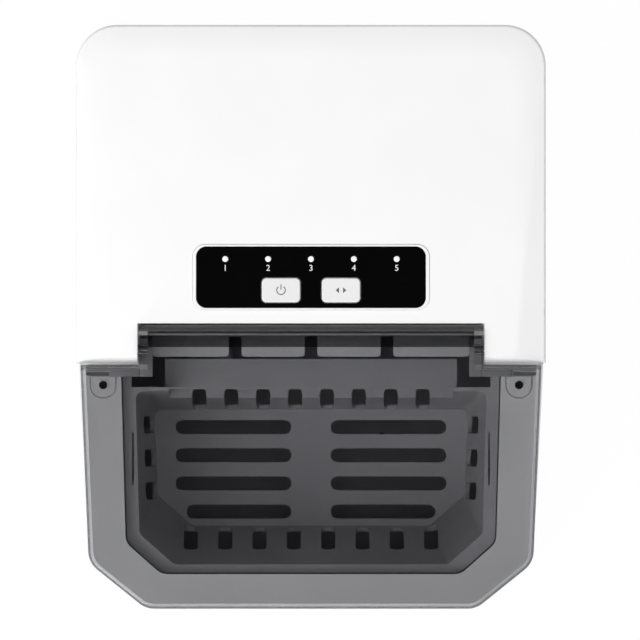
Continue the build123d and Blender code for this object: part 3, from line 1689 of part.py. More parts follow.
hub_rear_y = shroud_front_y
hub_front_y = hub_rear_y - fan_hub_depth
bar_rear_y = shroud_front_y - motor_standoff
bar_front_y = bar_rear_y - motor_bar_thickness
with BuildPart() as fan_motor:
    rod((fan_x, bar_rear_y - fan_motor_depth, fan_z), (fan_x, bar_rear_y, fan_z), fan_motor_radius)
    bar_x = (fan_x - motor_bar_width / 2, fan_x + motor_bar_width / 2)
    block(*bar_x, bar_front_y, bar_rear_y, fan_z - shroud_half, fan_z + shroud_half)
    for side in (-1, 1):
        post_z = sorted((fan_z + side * shroud_half, fan_z + side * (shroud_half - motor_post_width)))
        block(*bar_x, bar_rear_y, shroud_front_y, *post_z)
    rod((fan_x, bar_rear_y, fan_z), (fan_x, hub_rear_y - wall, fan_z), fan_shaft_radius)
fan_motor.part.label = "fan_motor"

blade_length = fan_radius - fan_hub_radius / 2
with BuildPart() as fan_blade:
    rod((fan_x, hub_front_y, fan_z), (fan_x, hub_rear_y, fan_z), fan_hub_radius)
    with Locations(Plane(origin=(fan_x, (hub_front_y + hub_rear_y) / 2, fan_z), z_dir=(0, 1, 0))):
        with PolarLocations(fan_radius - blade_length / 2, fan_blade_count):
            Box(
                blade_length,
                fan_blade_width,
                fan_blade_thickness,
                rotation=(fan_blade_pitch_deg, 0, 0),
            )
    rod(
        (fan_x, hub_front_y, fan_z),
        (fan_x, hub_rear_y - wall, fan_z),
        fan_shaft_radius + pin_gap,
        mode=Mode.SUBTRACT,
    )
fan_blade.part.label = "fan_blade"

# Refrigerant lines
condenser_inlet = serpentine[0]
condenser_outlet = serpentine[-1]
discharge_x = compressor_x + discharge_offset
discharge_z = compressor_top + discharge_rise
with BuildPart() as discharge_pipe:
    discharge_points = [
        (discharge_x, compressor_y, compressor_top),
        (discharge_x, compressor_y, discharge_z),
        (condenser_inlet[0], compressor_y, discharge_z),
        (condenser_inlet[0], condenser_y, discharge_z),
        condenser_inlet,
    ]
    discharge_drop = discharge_z - condenser_inlet[2]
    bent_tube(discharge_points, pipe_radius, [pipe_bend, pipe_bend, pipe_bend_share * discharge_drop])
discharge_pipe.part.label = "discharge_pipe"

with BuildPart() as suction_pipe:
    suction_x = compressor_x - suction_offset_x
    suction_y = compressor_y + suction_offset_y
    suction_z = compressor_top + suction_rise
    suction_points = [
        (-riser_x, riser_rear_y, riser_end_z),
        (-riser_x, riser_rear_y, suction_z),
        (suction_x, suction_y, suction_z - suction_slope_drop),
        (suction_x, suction_y, compressor_top),
    ]
    bent_tube(suction_points, riser_radius, pipe_bend)
suction_pipe.part.label = "suction_pipe"

drier_x = condenser_outlet[0]
drier_y = rear_y - drier_rear_margin
liquid_z = shell_bottom + liquid_rise
with BuildPart() as liquid_pipe:
    liquid_points = [
        condenser_outlet,
        (condenser_outlet[0], condenser_y, liquid_z),
        (drier_x, drier_y, liquid_z),
        (drier_x, drier_y, drier_bottom),
    ]
    liquid_drop = condenser_outlet[2] - liquid_z
    bent_tube(liquid_points, pipe_radius, [pipe_bend_share * liquid_drop, pipe_bend])
liquid_pipe.part.label = "liquid_pipe"

with BuildPart() as filter_drier:
    rod(
        (drier_x, drier_y, drier_bottom + drier_nipple),
        (drier_x, drier_y, drier_bottom + drier_length - drier_nipple),
        drier_radius,
    )
    fillet(filter_drier.edges().filter_by(GeomType.CIRCLE), radius=drier_radius - pipe_radius - wall / 2)
    rod(
        (drier_x, drier_y, drier_bottom),
        (drier_x, drier_y, drier_bottom + drier_length),
        pipe_radius,
    )
filter_drier.part.label = "filter_drier"

capillary_z = compressor_top + capillary_rise
with BuildPart() as capillary_tube:
    capillary_points = [
        (drier_x, drier_y, drier_bottom + drier_length),
        (drier_x, drier_y, capillary_z),
        (riser_x, riser_rear_y, capillary_z),
        (riser_x, riser_rear_y, riser_end_z),
    ]
    bent_tube(capillary_points, capillary_radius, capillary_bend)
capillary_tube.part.label = "capillary_tube"

# Hot gas valve above the discharge line, and the pipe from it to the right riser
valve_x = fan_x - valve_offset
valve_low = discharge_z + pipe_radius
valve_base = valve_low + valve_stub
valve_top = valve_base + valve_body_height
with BuildPart() as hot_gas_valve:
    rod((valve_x, compressor_y, valve_low), (valve_x, compressor_y, valve_base), pipe_radius)
    block(
        valve_x - valve_body_width / 2,
        valve_x + valve_body_width / 2,
        compressor_y - valve_body_depth / 2,
        compressor_y + valve_body_depth / 2,
        valve_base,
        valve_top,
    )
    rod(
        (valve_x, compressor_y, valve_top),
        (valve_x, compressor_y, valve_top + valve_coil_height),
        valve_coil_radius,
    )
hot_gas_valve.part.label = "hot_gas_valve"

hot_gas_x = riser_x + hot_gas_offset
hot_gas_z = valve_base + valve_body_height / 2
hot_gas_top = riser_end_z + hot_gas_rise
with BuildPart() as hot_gas_pipe:
    hot_gas_points = [
        (valve_x + valve_body_width / 2, compressor_y, hot_gas_z),
        (hot_gas_x, compressor_y, hot_gas_z),
        (hot_gas_x, compressor_y, hot_gas_top),
        (hot_gas_x, riser_rear_y, hot_gas_top),
        (riser_x + riser_radius + touch_gap, riser_rear_y, hot_gas_top),
    ]
    bent_tube(hot_gas_points, pipe_radius, hot_gas_bend)
hot_gas_pipe.part.label = "hot_gas_pipe"

# Power board on posts behind the reservoir, with its relays, and the lead up to the panel
board_plane_y = reservoir_outer_y + power_board_standoff
board_face_y = board_plane_y + board_thickness
power_board_x = chamber_half - power_board_width / 2
power_board_top = chamber_floor - wall - power_board_gap
power_board_z = power_board_top - power_board_height
with BuildPart() as power_board:
    block(
        power_board_x - power_board_width / 2,
        power_board_x + power_board_width / 2,
        board_plane_y,
        board_face_y,
        power_board_z,
        power_board_top,
    )
    for i in (-1, 1):
        for z in (power_board_z + power_post_inset, power_board_top - power_post_inset):
            post_x = power_board_x + i * (power_board_width / 2 - power_post_inset)
            rod((post_x, reservoir_outer_y, z), (post_x, board_plane_y, z), power_post_radius)
    for shift in centred(relay_count, relay_pitch):
        block(
            power_board_x + shift - relay_width / 2,
            power_board_x + shift + relay_width / 2,
            board_face_y,
            board_face_y + relay_width,
            power_board_z + relay_rise,
            power_board_z + relay_rise + relay_height,
        )
power_board.part.label = "power_board"

board_rear_y = panel_y + board_depth / 2
cable_x = power_board_x - cable_offset
cable_rear_y = chamber_rear_y + cable_chamber_gap
cable_turn_z = chamber_floor - wall - cable_drop
cable_z = board_bottom - cable_radius
cable_points = [
    (cable_x, board_rear_y - cable_bend, cable_z),
    (cable_x, cable_rear_y, cable_z),
    (cable_x, cable_rear_y, cable_turn_z),
    (cable_x, board_face_y + cable_radius, cable_turn_z),
    (cable_x, board_face_y + cable_radius, power_board_top - cable_end_drop),
]
with BuildPart() as panel_cable:
    bent_tube(cable_points, cable_radius, cable_bend)
panel_cable.part.label = "panel_cable"

pieces = [
    base_pan.part,
    rubber_feet.part,
    body_shell.part,
    rear_panel.part,
    rear_panel_screws.part,
    power_gland.part,
    top_cover.part,
    panel_bezel.part,
    panel_overlay.part,
    on_off_button,
    select_button,
    led_lenses.part,
    control_board.part,
    board_screws.part,
    tact_switches.part,
    lid.part,
    hinge_pins.part,
    deck_frame.part,
    deck_screws.part,
    water_tank.part,
    tank_insulation.part,
    ice_basket.part,
    ice_shovel.part,
    water_tray.part,
    tray_bearing.part,
    tray_motor.part,
    evaporator.part,
    evaporator_bracket.part,
    tray_fill_spout.part,
    water_pump.part,
    pump_bracket.part,
    tank_outlet.part,
    pump_inlet_hose.part,
    pump_outlet_hose.part,
    level_stem.part,
    level_float.part,
    ice_full_sensors.part,
    drain_fitting.part,
    drain_cap.part,
    compressor.part,
    compressor_grommets.part,
    compressor_bolts.part,
    condenser.part,
    fan_shroud.part,
    fan_motor.part,
    fan_blade.part,
    discharge_pipe.part,
    suction_pipe.part,
    liquid_pipe.part,
    filter_drier.part,
    capillary_tube.part,
    hot_gas_valve.part,
    hot_gas_pipe.part,
    power_board.part,
    panel_cable.part,
]

os.makedirs("parts", exist_ok=True)
for piece in pieces:
    export_step(piece, f"parts/{piece.label}.step")
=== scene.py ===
import json
import math

import bmesh
import bpy
from mathutils import Matrix, Vector


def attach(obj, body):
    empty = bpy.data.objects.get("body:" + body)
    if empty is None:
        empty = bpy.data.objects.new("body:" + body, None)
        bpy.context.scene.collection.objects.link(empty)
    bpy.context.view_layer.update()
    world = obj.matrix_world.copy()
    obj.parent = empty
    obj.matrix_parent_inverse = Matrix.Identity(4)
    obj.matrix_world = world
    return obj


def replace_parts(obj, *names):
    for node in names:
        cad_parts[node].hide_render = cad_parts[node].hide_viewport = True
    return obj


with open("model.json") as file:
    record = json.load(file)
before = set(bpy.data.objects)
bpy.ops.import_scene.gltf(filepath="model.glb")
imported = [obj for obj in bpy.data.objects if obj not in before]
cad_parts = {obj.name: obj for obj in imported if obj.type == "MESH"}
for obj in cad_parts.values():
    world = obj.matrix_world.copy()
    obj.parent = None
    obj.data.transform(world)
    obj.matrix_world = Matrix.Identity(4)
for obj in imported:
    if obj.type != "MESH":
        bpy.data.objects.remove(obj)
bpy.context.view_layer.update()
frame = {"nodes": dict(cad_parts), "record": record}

mm = 0.001
nodes = frame["nodes"]
scene = bpy.context.scene
scene.view_settings.view_transform = "Standard"
print("frame loaded:", len(nodes), "nodes")


# Helpers

def hexColour(text):
    # sRGB hex to linear RGBA
    parts = [int(text[i:i + 2], 16) / 255 for i in (1, 3, 5)]
    return [p / 12.92 if p <= 0.04045 else ((p + 0.055) / 1.055) ** 2.4 for p in parts] + [1.0]


def addNode(tree, kind, links=None, values=None, **settings):
    # one node with its settings, values and incoming links
    node = tree.nodes.new(kind)
    for key, value in settings.items():
        setattr(node, key, value)
    for key, value in (values or {}).items():
        node.inputs[key].default_value = value
    for key, socket in (links or {}).items():
        tree.links.new(socket, node.inputs[key])
    return node


def startMaterial(name, colour, roughness, **values):
    # a Principled surface that reads Object coordinates
    material = bpy.data.materials.new(name)
    material.use_nodes = True
    tree = material.node_tree
    tree.nodes.clear()
    place = addNode(tree, "ShaderNodeTexCoord").outputs["Object"]
    settings = {"Base Color": hexColour(colour), "Roughness": roughness}
    settings.update({key.replace("_", " "): value for key, value in values.items()})
    shader = addNode(tree, "ShaderNodeBsdfPrincipled", values=settings)
    addNode(tree, "ShaderNodeOutputMaterial", {"Surface": shader.outputs["BSDF"]})
    return material, tree, shader, place


def patchNoise(tree, place, sizeMm, detail):
    # cloudy noise with patches of the given size
    return addNode(tree, "ShaderNodeTexNoise", {"Vector": place},
                   {"Scale": 1 / (sizeMm * mm), "Detail": detail})


def varyColour(tree, shader, place, colour, other, sizeMm, low=0.35, high=0.65):
    # soft drift between two close colours over patches of the given size
    noise = patchNoise(tree, place, sizeMm, detail=3.0)
    ramp = addNode(tree, "ShaderNodeValToRGB", {"Fac": noise.outputs["Fac"]})
    ramp.color_ramp.elements[0].position = low
    ramp.color_ramp.elements[0].color = hexColour(colour)
    ramp.color_ramp.elements[1].position = high
    ramp.color_ramp.elements[1].color = hexColour(other)
    tree.links.new(ramp.outputs["Color"], shader.inputs["Base Color"])


def varyRoughness(tree, shader, place, rough, sizeMm):
    # smears and handling marks: roughness drifts between two values
    noise = patchNoise(tree, place, sizeMm, detail=4.0)
    spread = addNode(tree, "ShaderNodeMapRange", {"Value": noise.outputs["Fac"]},
                     {"From Min": 0.3, "From Max": 0.7, "To Min": rough[0], "To Max": rough[1]})
    tree.links.new(spread.outputs["Result"], shader.inputs["Roughness"])


def raiseGrain(tree, shader, height, depthMm, softMm=0.0):
    # bump from a height, over edges eased by the given radius
    bump = addNode(tree, "ShaderNodeBump", {"Height": height}, {"Distance": depthMm * mm})
    if softMm:
        soft = addNode(tree, "ShaderNodeBevel", values={"Radius": softMm * mm}, samples=4)
        tree.links.new(soft.outputs["Normal"], bump.inputs["Normal"])
    tree.links.new(bump.outputs["Normal"], shader.inputs["Normal"])


mouldPatches = {"driftMm": 45, "smearMm": 18}


def mouldedPlastic(name, colour, other, rough, ior, grainMm, depthMm, softMm=0.0, **values):
    # injection moulding: even colour with a faint drift, fine grain from the tool, gloss that varies a little
    material, tree, shader, place = startMaterial(name, colour, rough[0], IOR=ior, **values)
    varyColour(tree, shader, place, colour, other, mouldPatches["driftMm"])
    varyRoughness(tree, shader, place, rough, mouldPatches["smearMm"])
    grain = patchNoise(tree, place, grainMm, detail=2.0)
    raiseGrain(tree, shader, grain.outputs["Fac"], depthMm, softMm)
    return material


def workedMetal(name, colour, other, rough, streakMm, stretch, depthMm):
    # rolled or drawn metal: streaks along one way, drawn by a noise that is stretched
    material, tree, shader, place = startMaterial(name, colour, rough[0], Metallic=1.0)
    longWay = addNode(tree, "ShaderNodeMapping", {"Vector": place}, {"Scale": stretch}).outputs["Vector"]
    varyColour(tree, shader, longWay, colour, other, streakMm)
    varyRoughness(tree, shader, longWay, rough, streakMm)
    streaks = patchNoise(tree, longWay, streakMm, detail=5.0)
    raiseGrain(tree, shader, streaks.outputs["Fac"], depthMm)
    return material


# Materials

finish = {}
# glossy ABS moulding, polished tool: clean white, soft reflections, faint orange peel
finish["white_shell"] = mouldedPlastic("glossyWhiteAbs", "#F6F6F6", "#F4F4F4", rough=(0.22, 0.27),
                                       ior=1.54, grainMm=2.5, depthMm=0.006, softMm=0.35)
# same ABS from a plainer tool: satin white
finish["deck_white"] = mouldedPlastic("satinWhiteAbs", "#F1F1F1", "#ECECEC", rough=(0.30, 0.40),
                                      ior=1.54, grainMm=0.8, depthMm=0.012, softMm=0.3)
# keycaps: fine spark-eroded grain, soft white
finish["button_white"] = mouldedPlastic("satinKeycapAbs", "#E8E8E8", "#E4E4E4", rough=(0.38, 0.48),
                                        ior=1.54, grainMm=0.35, depthMm=0.01)
# basket: grey polypropylene, waxy sheen
finish["basket_grey"] = mouldedPlastic("greyPolypropylene", "#B6B6B8", "#AEAEB1", rough=(0.32, 0.45),
                                       ior=1.49, grainMm=1.2, depthMm=0.02, softMm=0.35)
# shovel: paler grey polypropylene
finish["shovel_grey"] = mouldedPlastic("palePolypropylene", "#E4E4E4", "#DCDCDC", rough=(0.28, 0.38),
                                       ior=1.49, grainMm=1.2, depthMm=0.015, softMm=0.3)
# tank: grey polypropylene, matt from a textured tool
finish["tank_plastic"] = mouldedPlastic("greyTankPolypropylene", "#ABABAD", "#A3A3A6", rough=(0.45, 0.6),
                                        ior=1.49, grainMm=0.9, depthMm=0.03, softMm=0.4)
# tray, bushes and fittings: natural acetal, waxy off-white
finish["tray_plastic"] = mouldedPlastic("naturalAcetal", "#E2E1DB", "#D8D7D0", rough=(0.3, 0.42),
                                        ior=1.48, grainMm=1.0, depthMm=0.01)
# float: foamed polypropylene with a closed skin
finish["float_plastic"] = mouldedPlastic("foamedFloatPlastic", "#E9E8E2", "#DDDCD6", rough=(0.5, 0.65),
                                         ior=1.48, grainMm=0.7, depthMm=0.05)
# fan wheel: glass-filled nylon, faint fibre grain
finish["fan_plastic"] = mouldedPlastic("glassFilledNylon", "#29292A", "#1F1F20", rough=(0.45, 0.6),
                                       ior=1.53, grainMm=0.5, depthMm=0.02)
# gland, pump, shroud, sensors: black moulding
finish["black_plastic"] = mouldedPlastic("blackMoulding", "#1C1C1D", "#141415", rough=(0.38, 0.52),
                                         ior=1.52, grainMm=0.6, depthMm=0.015)
# feet and grommets: black rubber, dull, dusty in patches
finish["rubber"] = mouldedPlastic("blackRubber", "#232323", "#2C2B2A", rough=(0.75, 0.9),
                                  ior=1.52, grainMm=0.4, depthMm=0.03)
# cable sheath: dull PVC
finish["cable_sheath"] = mouldedPlastic("greyCablePvc", "#3A3A3C", "#323234", rough=(0.5, 0.62),
                                        ior=1.53, grainMm=0.6, depthMm=0.01)
# insulation: expanded foam, open bead skin
finish["foam"] = mouldedPlastic("expandedFoam", "#E6E5E0", "#D9D8D2", rough=(0.8, 0.95),
                                ior=1.45, grainMm=2.2, depthMm=0.25)
# hoses: milky silicone that lets some light through
finish["clear_hose"] = mouldedPlastic("milkySilicone", "#DDE2E2", "#D2D8D9", rough=(0.3, 0.42),
                                      ior=1.41, grainMm=1.5, depthMm=0.008, Transmission_Weight=0.4)
# rear panel: pale grey powder coat, fine orange peel
finish["grey_steel"] = mouldedPlastic("greyPowderCoat", "#CDCDCD", "#C6C6C7", rough=(0.42, 0.55),
                                      ior=1.5, grainMm=0.9, depthMm=0.05)
# compressor can: black stove enamel
finish["black_metal"] = mouldedPlastic("blackStoveEnamel", "#161617", "#101011", rough=(0.2, 0.32),
                                       ior=1.52, grainMm=1.8, depthMm=0.02)
# base pan and bracket: zinc-coated sheet, spangle drawn as soft streaks
finish["zinc_steel"] = workedMetal("zincCoatedSheet", "#C3C6C9", "#A9ADB2", rough=(0.32, 0.5),
                                   streakMm=9.0, stretch=(1.0, 0.5, 1.0), depthMm=0.01)
# screws and pins: bright drawn steel
finish["screw_steel"] = workedMetal("brightScrewSteel", "#BFC0C2", "#A3A4A7", rough=(0.22, 0.36),
                                    streakMm=0.8, stretch=(1.0, 1.0, 0.25), depthMm=0.006)
# deck screws: dull dark steel, the dark tone painted shade standing for the shade in the screw holes
finish["dark_screw"] = workedMetal("shadeDarkScrewSteel", "#3C3C3E", "#303032", rough=(0.4, 0.55),
                                   streakMm=0.8, stretch=(1.0, 1.0, 0.25), depthMm=0.006)
# motor cans: drawn, zinc-coated
finish["motor_metal"] = workedMetal("drawnMotorCan", "#B4B6B9", "#9A9CA0", rough=(0.3, 0.45),
                                    streakMm=3.0, stretch=(0.3, 1.0, 1.0), depthMm=0.008)
# condenser: mill-finish aluminium fins
finish["fin_aluminium"] = workedMetal("millAluminium", "#D3D5D8", "#BBBEC2", rough=(0.28, 0.42),
                                      streakMm=2.0, stretch=(1.0, 1.0, 0.15), depthMm=0.006)
# pipes: copper tube, dulled in patches
finish["copper"] = workedMetal("dulledCopper", "#C98A66", "#A8643F", rough=(0.24, 0.42),
                               streakMm=14.0, stretch=(1.0, 1.0, 0.6), depthMm=0.006)
# valve body: machined brass
finish["brass"] = workedMetal("machinedBrass", "#CDB27A", "#B3965C", rough=(0.22, 0.34),
                              streakMm=1.2, stretch=(1.0, 1.0, 4.0), depthMm=0.006)
# evaporator: nickel-plated copper, bright with a faint haze
finish["nickel_copper"] = workedMetal("nickelPlate", "#D2CEC6", "#BFB9AE", rough=(0.12, 0.24),
                                      streakMm=6.0, stretch=(1.0, 1.0, 0.5), depthMm=0.004)

# panel plate: acrylic printed black on its back, deep and nearly mirror smooth
panelBlack, tree, shader, place = startMaterial("backPrintedAcrylic", "#040404", roughness=0.09, IOR=1.49)
varyRoughness(tree, shader, place, rough=(0.07, 0.13), sizeMm=12)
wipe = patchNoise(tree, place, sizeMm=4, detail=3.0)
raiseGrain(tree, shader, wipe.outputs["Fac"], depthMm=0.002, softMm=0.25)
finish["black_gloss"] = panelBlack


# the edge tilt range below darkens the lid's tint there, a painted shade on its edges
# the pale foot colour below is a painted highlight on the lid's rim
styrene = {"rough": (0.015, 0.04), "smearMm": 25, "hazeMm": 20, "hazeDepthMm": 0.001,
           "shadedEdgeTilt": (0.08, 0.92), "paleFootHighlight": "#E4E4E6"}


def smokedStyrene(name, colour, shadedEdgeColour, passColour, ior, highlightFootZMm):
    # smoked clear styrene, even tint, polished; lamps shine through it with a tint of its own
    smoked, tree, shader, place = startMaterial(name, colour, roughness=0.02, IOR=ior,
                                                 Transmission_Weight=1.0)
    varyRoughness(tree, shader, place, styrene["rough"], styrene["smearMm"])
    haze = patchNoise(tree, place, styrene["hazeMm"], detail=1.0)
    raiseGrain(tree, shader, haze.outputs["Fac"], styrene["hazeDepthMm"])
    # painted shade: where the surface tilts away from upright the tint turns darker, so that rounded edges
    # show as dark lines
    turn = addNode(tree, "ShaderNodeTexCoord").outputs["Normal"]
    upright = addNode(tree, "ShaderNodeSeparateXYZ", {"Vector": turn}).outputs["Z"]
    tilt = addNode(tree, "ShaderNodeMath", {0: upright}, operation="ABSOLUTE").outputs[0]
    low, high = styrene["shadedEdgeTilt"]
    shadedEdgeMask = addNode(tree, "ShaderNodeMath", {0: tilt}, {1: (low + high) / 2, 2: (high - low) / 2},
                   operation="COMPARE").outputs[0]
    tintWithEdgeShade = addNode(tree, "ShaderNodeMix", {0: shadedEdgeMask}, {6: hexColour(colour), 7: hexColour(shadedEdgeColour)},
                    data_type="RGBA")
    tree.links.new(tintWithEdgeShade.outputs[2], shader.inputs["Base Color"])
    # painted highlight: below a set height the rim's foot turns pale matt, standing in for light that the
    # clear rim carries to its edge, so that it shows as a pale line
    level = addNode(tree, "ShaderNodeSeparateXYZ", {"Vector": place}).outputs["Z"]
    foot = addNode(tree, "ShaderNodeMath", {0: level}, {1: highlightFootZMm * mm}, operation="LESS_THAN").outputs[0]
    paleFootHighlight = addNode(tree, "ShaderNodeBsdfDiffuse", values={"Color": hexColour(styrene["paleFootHighlight"])})
    body = addNode(tree, "ShaderNodeMixShader",
                   {"Fac": foot, 1: shader.outputs["BSDF"], 2: paleFootHighlight.outputs["BSDF"]})
    passing = addNode(tree, "ShaderNodeBsdfTransparent", values={"Color": hexColour(passColour)})
    rays = addNode(tree, "ShaderNodeLightPath").outputs
    both = addNode(tree, "ShaderNodeMixShader",
                   {"Fac": rays["Is Shadow Ray"], 1: body.outputs["Shader"], 2: passing.outputs["BSDF"]})
    tree.links.new(both.outputs["Shader"], tree.nodes["Material Output"].inputs["Surface"])
    return smoked


# lid: pale smoke, with painted shade along its edges and a painted highlight at the rim's foot
finish["smoked_clear"] = smokedStyrene("smokedStyrene", "#B4B4B6", shadedEdgeColour="#5C5C5E",
                                       passColour="#EDEDEE", ior=1.5, highlightFootZMm=273.6)
# the lid's rolled edge: a darker smoke that hardly mirrors, being inside; its darker tint is painted shade
# over the shovel blades' upper half beneath it
finish["smoked_roll"] = smokedStyrene("shadeDarkenedSmokedStyrene", "#7C7C7E", shadedEdgeColour="#747476",
                                      passColour="#DADADC", ior=1.02, highlightFootZMm=0.0)

# lid's flange: the same styrene, thick and cloudy
finish["smoked_flange"] = mouldedPlastic("cloudySmokedStyrene", "#B9B9BB", "#B0B0B3", rough=(0.3, 0.4),
                                         ior=1.57, grainMm=1.5, depthMm=0.01, Transmission_Weight=0.25)
# light pipes: milky acrylic
milky, tree, shader, place = startMaterial("milkyAcrylic", "#F8F8F8", roughness=0.25, IOR=1.49)
varyRoughness(tree, shader, place, rough=(0.2, 0.32), sizeMm=2)
cloud = patchNoise(tree, place, sizeMm=0.6, detail=2.0)
raiseGrain(tree, shader, cloud.outputs["Fac"], depthMm=0.004)
finish["lamp_lens"] = milky

# boards: green solder mask over tracks that show as a paler weave
mask = {"green": "#14522B", "paleGreen": "#175A30", "track": "#3C8450", "fieldMm": 16, "trackShare": 0.03}
board, tree, shader, place = startMaterial("greenSolderMask", mask["green"], roughness=0.3, IOR=1.55)
tracks = addNode(tree, "ShaderNodeTexBrick", {"Vector": place},
                 {"Scale": 1 / (mask["fieldMm"] * mm), "Mortar Size": mask["trackShare"],
                  "Color1": hexColour(mask["green"]), "Color2": hexColour(mask["paleGreen"]),
                  "Mortar": hexColour(mask["track"])})
tree.links.new(tracks.outputs["Color"], shader.inputs["Base Color"])
varyRoughness(tree, shader, place, rough=(0.25, 0.4), sizeMm=6)
raiseGrain(tree, shader, tracks.outputs["Fac"], depthMm=0.03)
finish["circuit_board"] = board

# panel print: white screen ink, slightly chalky
finish["ink"] = mouldedPlastic("whiteScreenInk", "#F2F2F2", "#E9E9E9", rough=(0.5, 0.6),
                               ior=1.5, grainMm=0.3, depthMm=0.003)
# key print: grey pad ink
finish["keyInk"] = mouldedPlastic("greyPadInk", "#5C5C5E", "#525254", rough=(0.5, 0.6),
                                  ior=1.5, grainMm=0.3, depthMm=0.003)

slotOf = {part["node"]: part["material_slot"] for part in frame["record"]["subparts"]}
for name, slot in slotOf.items():
    mesh = nodes[name].data
    mesh.materials.clear()
    mesh.materials.append(finish[slot])
print("materials set on", len(slotOf), "nodes")


# Pieces from the frame with eased edges

def placePiece(name, mesh, body, material=None):
    # a finished piece at the origin that rides on its body
    if material:
        mesh.materials.clear()
        mesh.materials.append(material)
    piece = bpy.data.objects.new(name, mesh)
    scene.collection.objects.link(piece)
    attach(piece, body)
    return piece


def applyModifiers(helper):
    # the evaluated shape as a plain mesh; the helper goes
    graph = bpy.context.evaluated_depsgraph_get()
    mesh = bpy.data.meshes.new_from_object(helper.evaluated_get(graph))
    bpy.data.objects.remove(helper)
    return mesh


def joinMeshes(name, meshes):
    # several meshes as one
    shape = bmesh.new()
    for mesh in meshes:
        shape.from_mesh(mesh)
    joined = bpy.data.meshes.new(name)
    shape.to_mesh(joined)
    shape.free()
    return joined


easedEdges = {  # piece: body and edge width in mm
    "top_cover": ("housing", 0.9),
    "panel_bezel": ("housing", 0.18),
    "panel_overlay": ("housing", 0.12),
    "deck_frame": ("housing", 0.35),
    "body_shell": ("housing", 0.4),
    "ice_basket": ("basket", 0.4),
    "ice_shovel": ("shovel", 0.35),
    "drain_cap": ("drain_plug", 0.3),
    "rear_panel": ("housing", 0.3),
    "base_pan": ("housing", 0.3),
    "lid": ("lid", 0.35),
}
easing = {"weldMm": 0.002, "flatDeg": 1.0, "hardDeg": 35.0, "segments": 2, "flatWeight": 100}


def easedCopy(name, widthMm):
    # a joined copy of a frame node with a small round on each hard edge
    mesh = nodes[name].data.copy()
    shape = bmesh.new()
    shape.from_mesh(mesh)
    bmesh.ops.remove_doubles(shape, verts=shape.verts, dist=easing["weldMm"] * mm)
    bmesh.ops.dissolve_limit(shape, angle_limit=math.radians(easing["flatDeg"]), verts=shape.verts,
                             edges=shape.edges)
    shape.to_mesh(mesh)
    shape.free()
    helper = bpy.data.objects.new(name + "Helper", mesh)
    scene.collection.objects.link(helper)
    mesh.shade_smooth()
    ease = helper.modifiers.new("ease", "BEVEL")
    ease.width = widthMm * mm
    ease.segments = easing["segments"]
    ease.limit_method = "ANGLE"
    ease.angle_limit = math.radians(easing["hardDeg"])
    ease.use_clamp_overlap = True
    flats = helper.modifiers.new("flats", "WEIGHTED_NORMAL")
    flats.weight = easing["flatWeight"]
    return applyModifiers(helper)


for name, (body, widthMm) in easedEdges.items():
    slot = slotOf[name]
    piece = placePiece(name + "Eased", easedCopy(name, widthMm), body, finish[slot])
    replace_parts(piece, name)
print("edges eased on", len(easedEdges), "pieces")


# Rolled edge of the lid's bridge: it goes on under the top, round the hinge's axis

lidRoll = {"axisMm": (-16.0, 290.0), "outerMm": 12.0, "thickMm": 2.2, "halfWidthMm": 79.9, "fromDeg": -1.0,
           "toDeg": -78.0, "steps": 26, "endSteps": 8, "sharpDeg": 40.0}


def rolledEdge(sizes):
    # a curved strip along X with a rounded free edge
    axisY, axisZ = sizes["axisMm"]
    outer, steps, endSteps = sizes["outerMm"], sizes["steps"], sizes["endSteps"]
    inner = outer - sizes["thickMm"]
    middle, half = (outer + inner) / 2, (outer - inner) / 2
    start, end = math.radians(sizes["fromDeg"]), math.radians(sizes["toDeg"])
    angles = [start + (end - start) * i / steps for i in range(steps + 1)]
    section = [(outer, angle) for angle in angles]
    for i in range(1, endSteps):
        turn = math.pi * i / endSteps
        section.append((middle + half * math.cos(turn), end - half * math.sin(turn) / middle))
    section += [(inner, angle) for angle in angles[::-1]]
    shape = bmesh.new()
    sides = []
    for side in (-1, 1):
        x = side * sizes["halfWidthMm"]
        rim = [Vector((x, axisY + r * math.cos(a), axisZ + r * math.sin(a))) * mm for r, a in section]
        sides.append([shape.verts.new(corner) for corner in rim])
        shape.faces.new(sides[-1])
    for i in range(len(section)):
        j = (i + 1) % len(section)
        shape.faces.new((sides[0][i], sides[0][j], sides[1][j], sides[1][i]))
    bmesh.ops.recalc_face_normals(shape, faces=shape.faces)
    mesh = bpy.data.meshes.new("lidRoll")
    shape.to_mesh(mesh)
    shape.free()
    mesh.shade_smooth()
    mesh.set_sharp_from_angle(angle=math.radians(sizes["sharpDeg"]))
    return mesh


# the roll's darker smoke is painted shade over the shovel blades below it
placePiece("lidRolledEdge", rolledEdge(lidRoll), "lid", finish["smoked_roll"])


# Rear flange of the lid: cloudy strips along the foot of its rear wall and of the bridge's ends, and a ledge
# inside the bridge

lidFlange = {
    "innerXMm": 77.6, "bridgeXMm": 83.9, "padXMm": 98.4, "outerXMm": 110.5,
    "frontYMm": -29.4, "slotYMm": -26.7, "rearYMm": -25.4, "bridgeYMm": -10.5,
    "lowZMm": 274.4, "highZMm": 276.4, "easeMm": 0.5, "easeSteps": 3, "sharpDeg": 50.0,
}
lidLedge = {"halfWidthMm": 79.5, "frontYMm": -9.1, "rearYMm": -6.2, "lowZMm": 288.0, "highZMm": 290.0}


def easedBar(name, low, high):
    # a bar between two corners with rounded edges
    shape = bmesh.new()
    bmesh.ops.create_cube(shape, size=1.0)
    size = Vector(high) - Vector(low)
    bmesh.ops.scale(shape, vec=size * mm, verts=shape.verts)
    bmesh.ops.translate(shape, vec=(Vector(low) + size / 2) * mm, verts=shape.verts)
    bmesh.ops.bevel(shape, geom=shape.edges[:], offset=lidFlange["easeMm"] * mm,
                    segments=lidFlange["easeSteps"], profile=0.5, affect="EDGES")
    mesh = bpy.data.meshes.new(name)
    shape.to_mesh(mesh)
    shape.free()
    mesh.shade_smooth()
    mesh.set_sharp_from_angle(angle=math.radians(lidFlange["sharpDeg"]))
    return mesh


